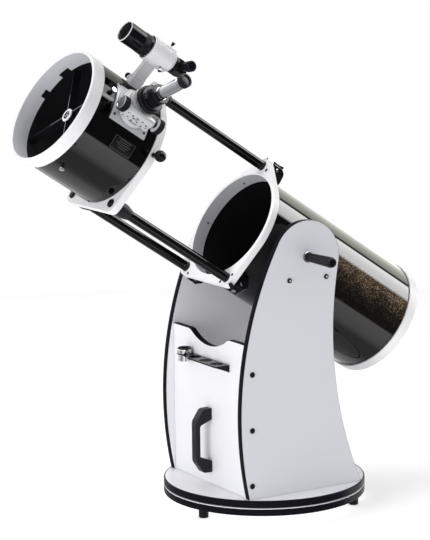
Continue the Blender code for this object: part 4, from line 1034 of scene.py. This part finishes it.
FINDER = TUBE @ move(*spot(FINDER_ANGLE, 0.242), 0.0)
TO_FINDER = SHOE.inverted() @ FINDER
foot = mm([(6.9, 160.3), (5, 166.9), (8.5, 167), (8.5, 172), (7.9, 173.6), (6.5, 176), (6.5, 211.5)])
foot += [(-t, h) for t, h in reversed(foot)]
foot = moved(prism(foot, -0.0155, 0.0155), CYCLE)
sleeve = mm([(29.2, 541), (31, 541), (31.6, 541.6), (31.6, 605.4), (31, 606), (29.2, 606)])
sleeve = moved(lathe(sleeve, 96), TO_FINDER)
plunger = moved(rod(0.005, 0.03, 0.044, 36), TO_FINDER @ in_tube(268.0, 0.56))
bracket = join(foot, sleeve, plunger)
for number, turn in ((1, 28.0), (2, 148.0)):
    side = in_tube(turn, 0.56)
    bracket = cut(bracket, moved(rod(0.0023, 0.02, 0.045, 20), TO_FINDER @ side))
    tip = lathe(mm([
        (0, 25.8), (2, 25.8), (2, 35), (2.8, 35.6), (3.1, 36.6, 1), (4.5, 43.6, 1), (4, 44.5), (0, 44.5)
    ]), 72, flutes=14, depth=0.0005)
    # The two identical screws are painted differently, screw 2's knurled knob chrome and screw 1's black, to
    # follow how the light falls on them: painted light and shade.
    bright = (0.0, 0.0352) if number == 1 else (0.035, 0.0405)
    piece(f"finder_screw_{number}_knob", tip, ["chrome", "plastic"], f"finder_screw_{number}", FINDER @ side,
          f"finder_screw_{number}",
          paint=lambda c, n, bright=bright: 0 if bright[0] < c.z < bright[1] else 1)
piece("finder_bracket_cast", bracket, ["coat", "light_cast"], "finder_bracket", SHOE, "finder_bracket",
      edge=0.0005, paint=lambda c, n: 1 if c.z < 0.211 and abs(c.y) < 0.01 else 0)
keep("finder_o_ring", "rubber")

cell = lathe(mm([
    (0, 533), (24.5, 533), (24.5, 606.6), (26.2, 607), (26.8, 607.8), (26.8, 611), (26, 611.4),
    (26, 612.4), (27, 613), (27, 614.4), (26, 615), (26, 616), (26.8, 616.4, 1), (26.8, 630, 1),
    (26, 630.4), (26, 631.2), (26.8, 631.8), (26.8, 650), (26.8, 677), (26.2, 678.5), (25.2, 678.5),
    (24.4, 676.5), (23.6, 658), (21.4, 657), (21.2, 656), (15, 657.4), (8, 658.4), (0, 658.8)
]), 180, flutes=60, depth=0.0007)


def finder_paint(centre, normal):
    """0 white tube and rim, 1 gloss cell, 2 lens, 3 dark bore, 4 ribbed grip."""
    radius = off_axis(centre)
    if centre.z > 0.65 and radius < 0.0255 and centre.z < 0.6775:
        return 2 if radius < 0.0213 else 3
    for height, index in ((0.6765, 0), (0.6302, 1), (0.6152, 4), (0.6064, 1)):
        if centre.z > height:
            return index
    return 0


piece("finder_tube_body", cell, ["coat", "gloss_plastic", "front_lens", "dark", "plastic"], "finder_tube",
      FINDER, "finder_tube", paint=finder_paint)

DIAGONAL = FINDER @ in_tube(79.0, 0.506)
body = join(box((-0.0145, -0.0165, -0.0165), (0.016, 0.0165, 0.0165)),
            moved(lathe(mm([
                (0, 15), (20.5, 15), (21.5, 16), (21.5, 26.2), (20.9, 26.7), (0, 26.7)
            ]), 72), ALONG_X),
            lathe(mm([(0, 15), (11, 15), (11, 39.2), (0, 39.2)]), 64))
wedge = prism(mm([(-20, -20), (-2, -20), (-20, -2)]), -0.03, 0.03)
wedge.transform(AGAINST_Y)
body = cut(body, wedge)
piece("finder_diagonal_body", body, "plastic", "finder_diagonal", DIAGONAL, "finder_diagonal",
      edge=0.0011)
cup = lathe(mm([
    (0, 38.5), (12.6, 38.5), (13.2, 39.2, 1), (13.2, 53, 1), (12.6, 54), (10.2, 54), (8.8, 51.2),
    (5, 51.6), (0, 51.8)
]), 120, flutes=30, depth=0.0006)
piece("finder_eye_cup", cup, ["rubber", "lens"], "finder_diagonal", DIAGONAL,
      paint=lambda c, n: 1 if off_axis(c) < 0.0088 and n.z > 0.5 else 0)

# ---- floor, light and camera

FLOOR_R = 3.0
FLOOR_Z = -0.0222
floor = bpy.data.meshes.new("floor")
ground = rod(FLOOR_R, FLOOR_Z - 0.0018, FLOOR_Z, 96)
ground.to_mesh(floor)
ground.free()
floor_item = place_object("floor", floor)
pale = finish_material("pale_floor", (0.9, 0.9, 0.9), rough=0.9, bump=0.0, mottle=0.004, specular=0.0)
glow = pale.node_tree.nodes["Principled BSDF"].inputs
glow["Emission Color"].default_value = (1.0, 1.0, 1.0, 1.0)
glow["Emission Strength"].default_value = 0.42
floor.materials.append(pale)
floor_item.visible_glossy = False
floor_item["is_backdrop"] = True

# Brightness that glossy surfaces see, by the angle round the tube's axis.
BRIGHTEST = 10.0
BANDS = ((-180, 0.35), (-170, 0.4), (-156, 0.8), (-110, 0.8), (-60, 2.4), (-54, (0.205, 0.205, 0.19)),
         (-12, (0.2, 0.2, 0.182)), (-10, 0.0), (-6, 0.0), (-3, 8.6), (26, 8.9), (32, 0.05), (107, 0.05),
         (110, 1.45), (138, 1.15), (154, 0.4), (180, 0.35))
world = bpy.data.worlds.new("studio")
bpy.context.scene.world = world
world.use_nodes = True
g = Graph(world.node_tree)
background = world.node_tree.nodes["Background"]
ray = g.node("ShaderNodeTexCoord").outputs["Generated"]
turn = g.math("MULTIPLY_ADD", g.angle(ray), 0.5 / math.pi)
turn.node.inputs[2].default_value = 0.5
bands = g.ramp(turn, [((angle + 180) / 360, level if isinstance(level, tuple) else level / BRIGHTEST)
                      for angle, level in BANDS])
lit = g.node("ShaderNodeVectorMath", {0: bands}, operation="SCALE")
lit.inputs["Scale"].default_value = BRIGHTEST
path = g.node("ShaderNodeLightPath")
plain = g.mix(path.outputs["Is Camera Ray"], (0.5, 0.5, 0.51, 1.0), (1.0, 1.0, 1.0, 1.0))
g.feed(background.inputs["Color"], g.mix(path.outputs["Is Glossy Ray"], plain, lit.outputs[0]))


def area_light(name, position, target, size, power):
    lamp = bpy.data.lights.new(name, "AREA")
    lamp.energy = power
    lamp.size = size
    item = place_object(name, lamp)
    item.location = position
    item.rotation_euler = (Vector(target) - Vector(position)).to_track_quat("-Z", "Y").to_euler()
    item.visible_glossy = False
    item.visible_camera = False


area_light("key", (0.9, -3.2, 0.7), (0, 0, 0.4), 1.6, 50.0)
area_light("top", (-0.6, -0.6, 3.6), (0, 0, 0.4), 2.0, 36.0)
area_light("low_side", (1.9, 0.3, 0.25), (0, 0, 0.15), 0.9, 5.0)

lens = bpy.data.cameras.new("view")
lens.lens = 148.645
lens.sensor_width = 36.0
lens.shift_x = -0.022818
lens.shift_y = -0.018078
viewer = place_object("view", lens)
viewer.location = (4.64193, -2.94943, 1.52077)
viewer.rotation_euler = (1.403119, 0.009447, 1.019226)
bpy.context.scene.camera = viewer
bpy.context.scene.view_settings.view_transform = "Standard"

low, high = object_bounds()
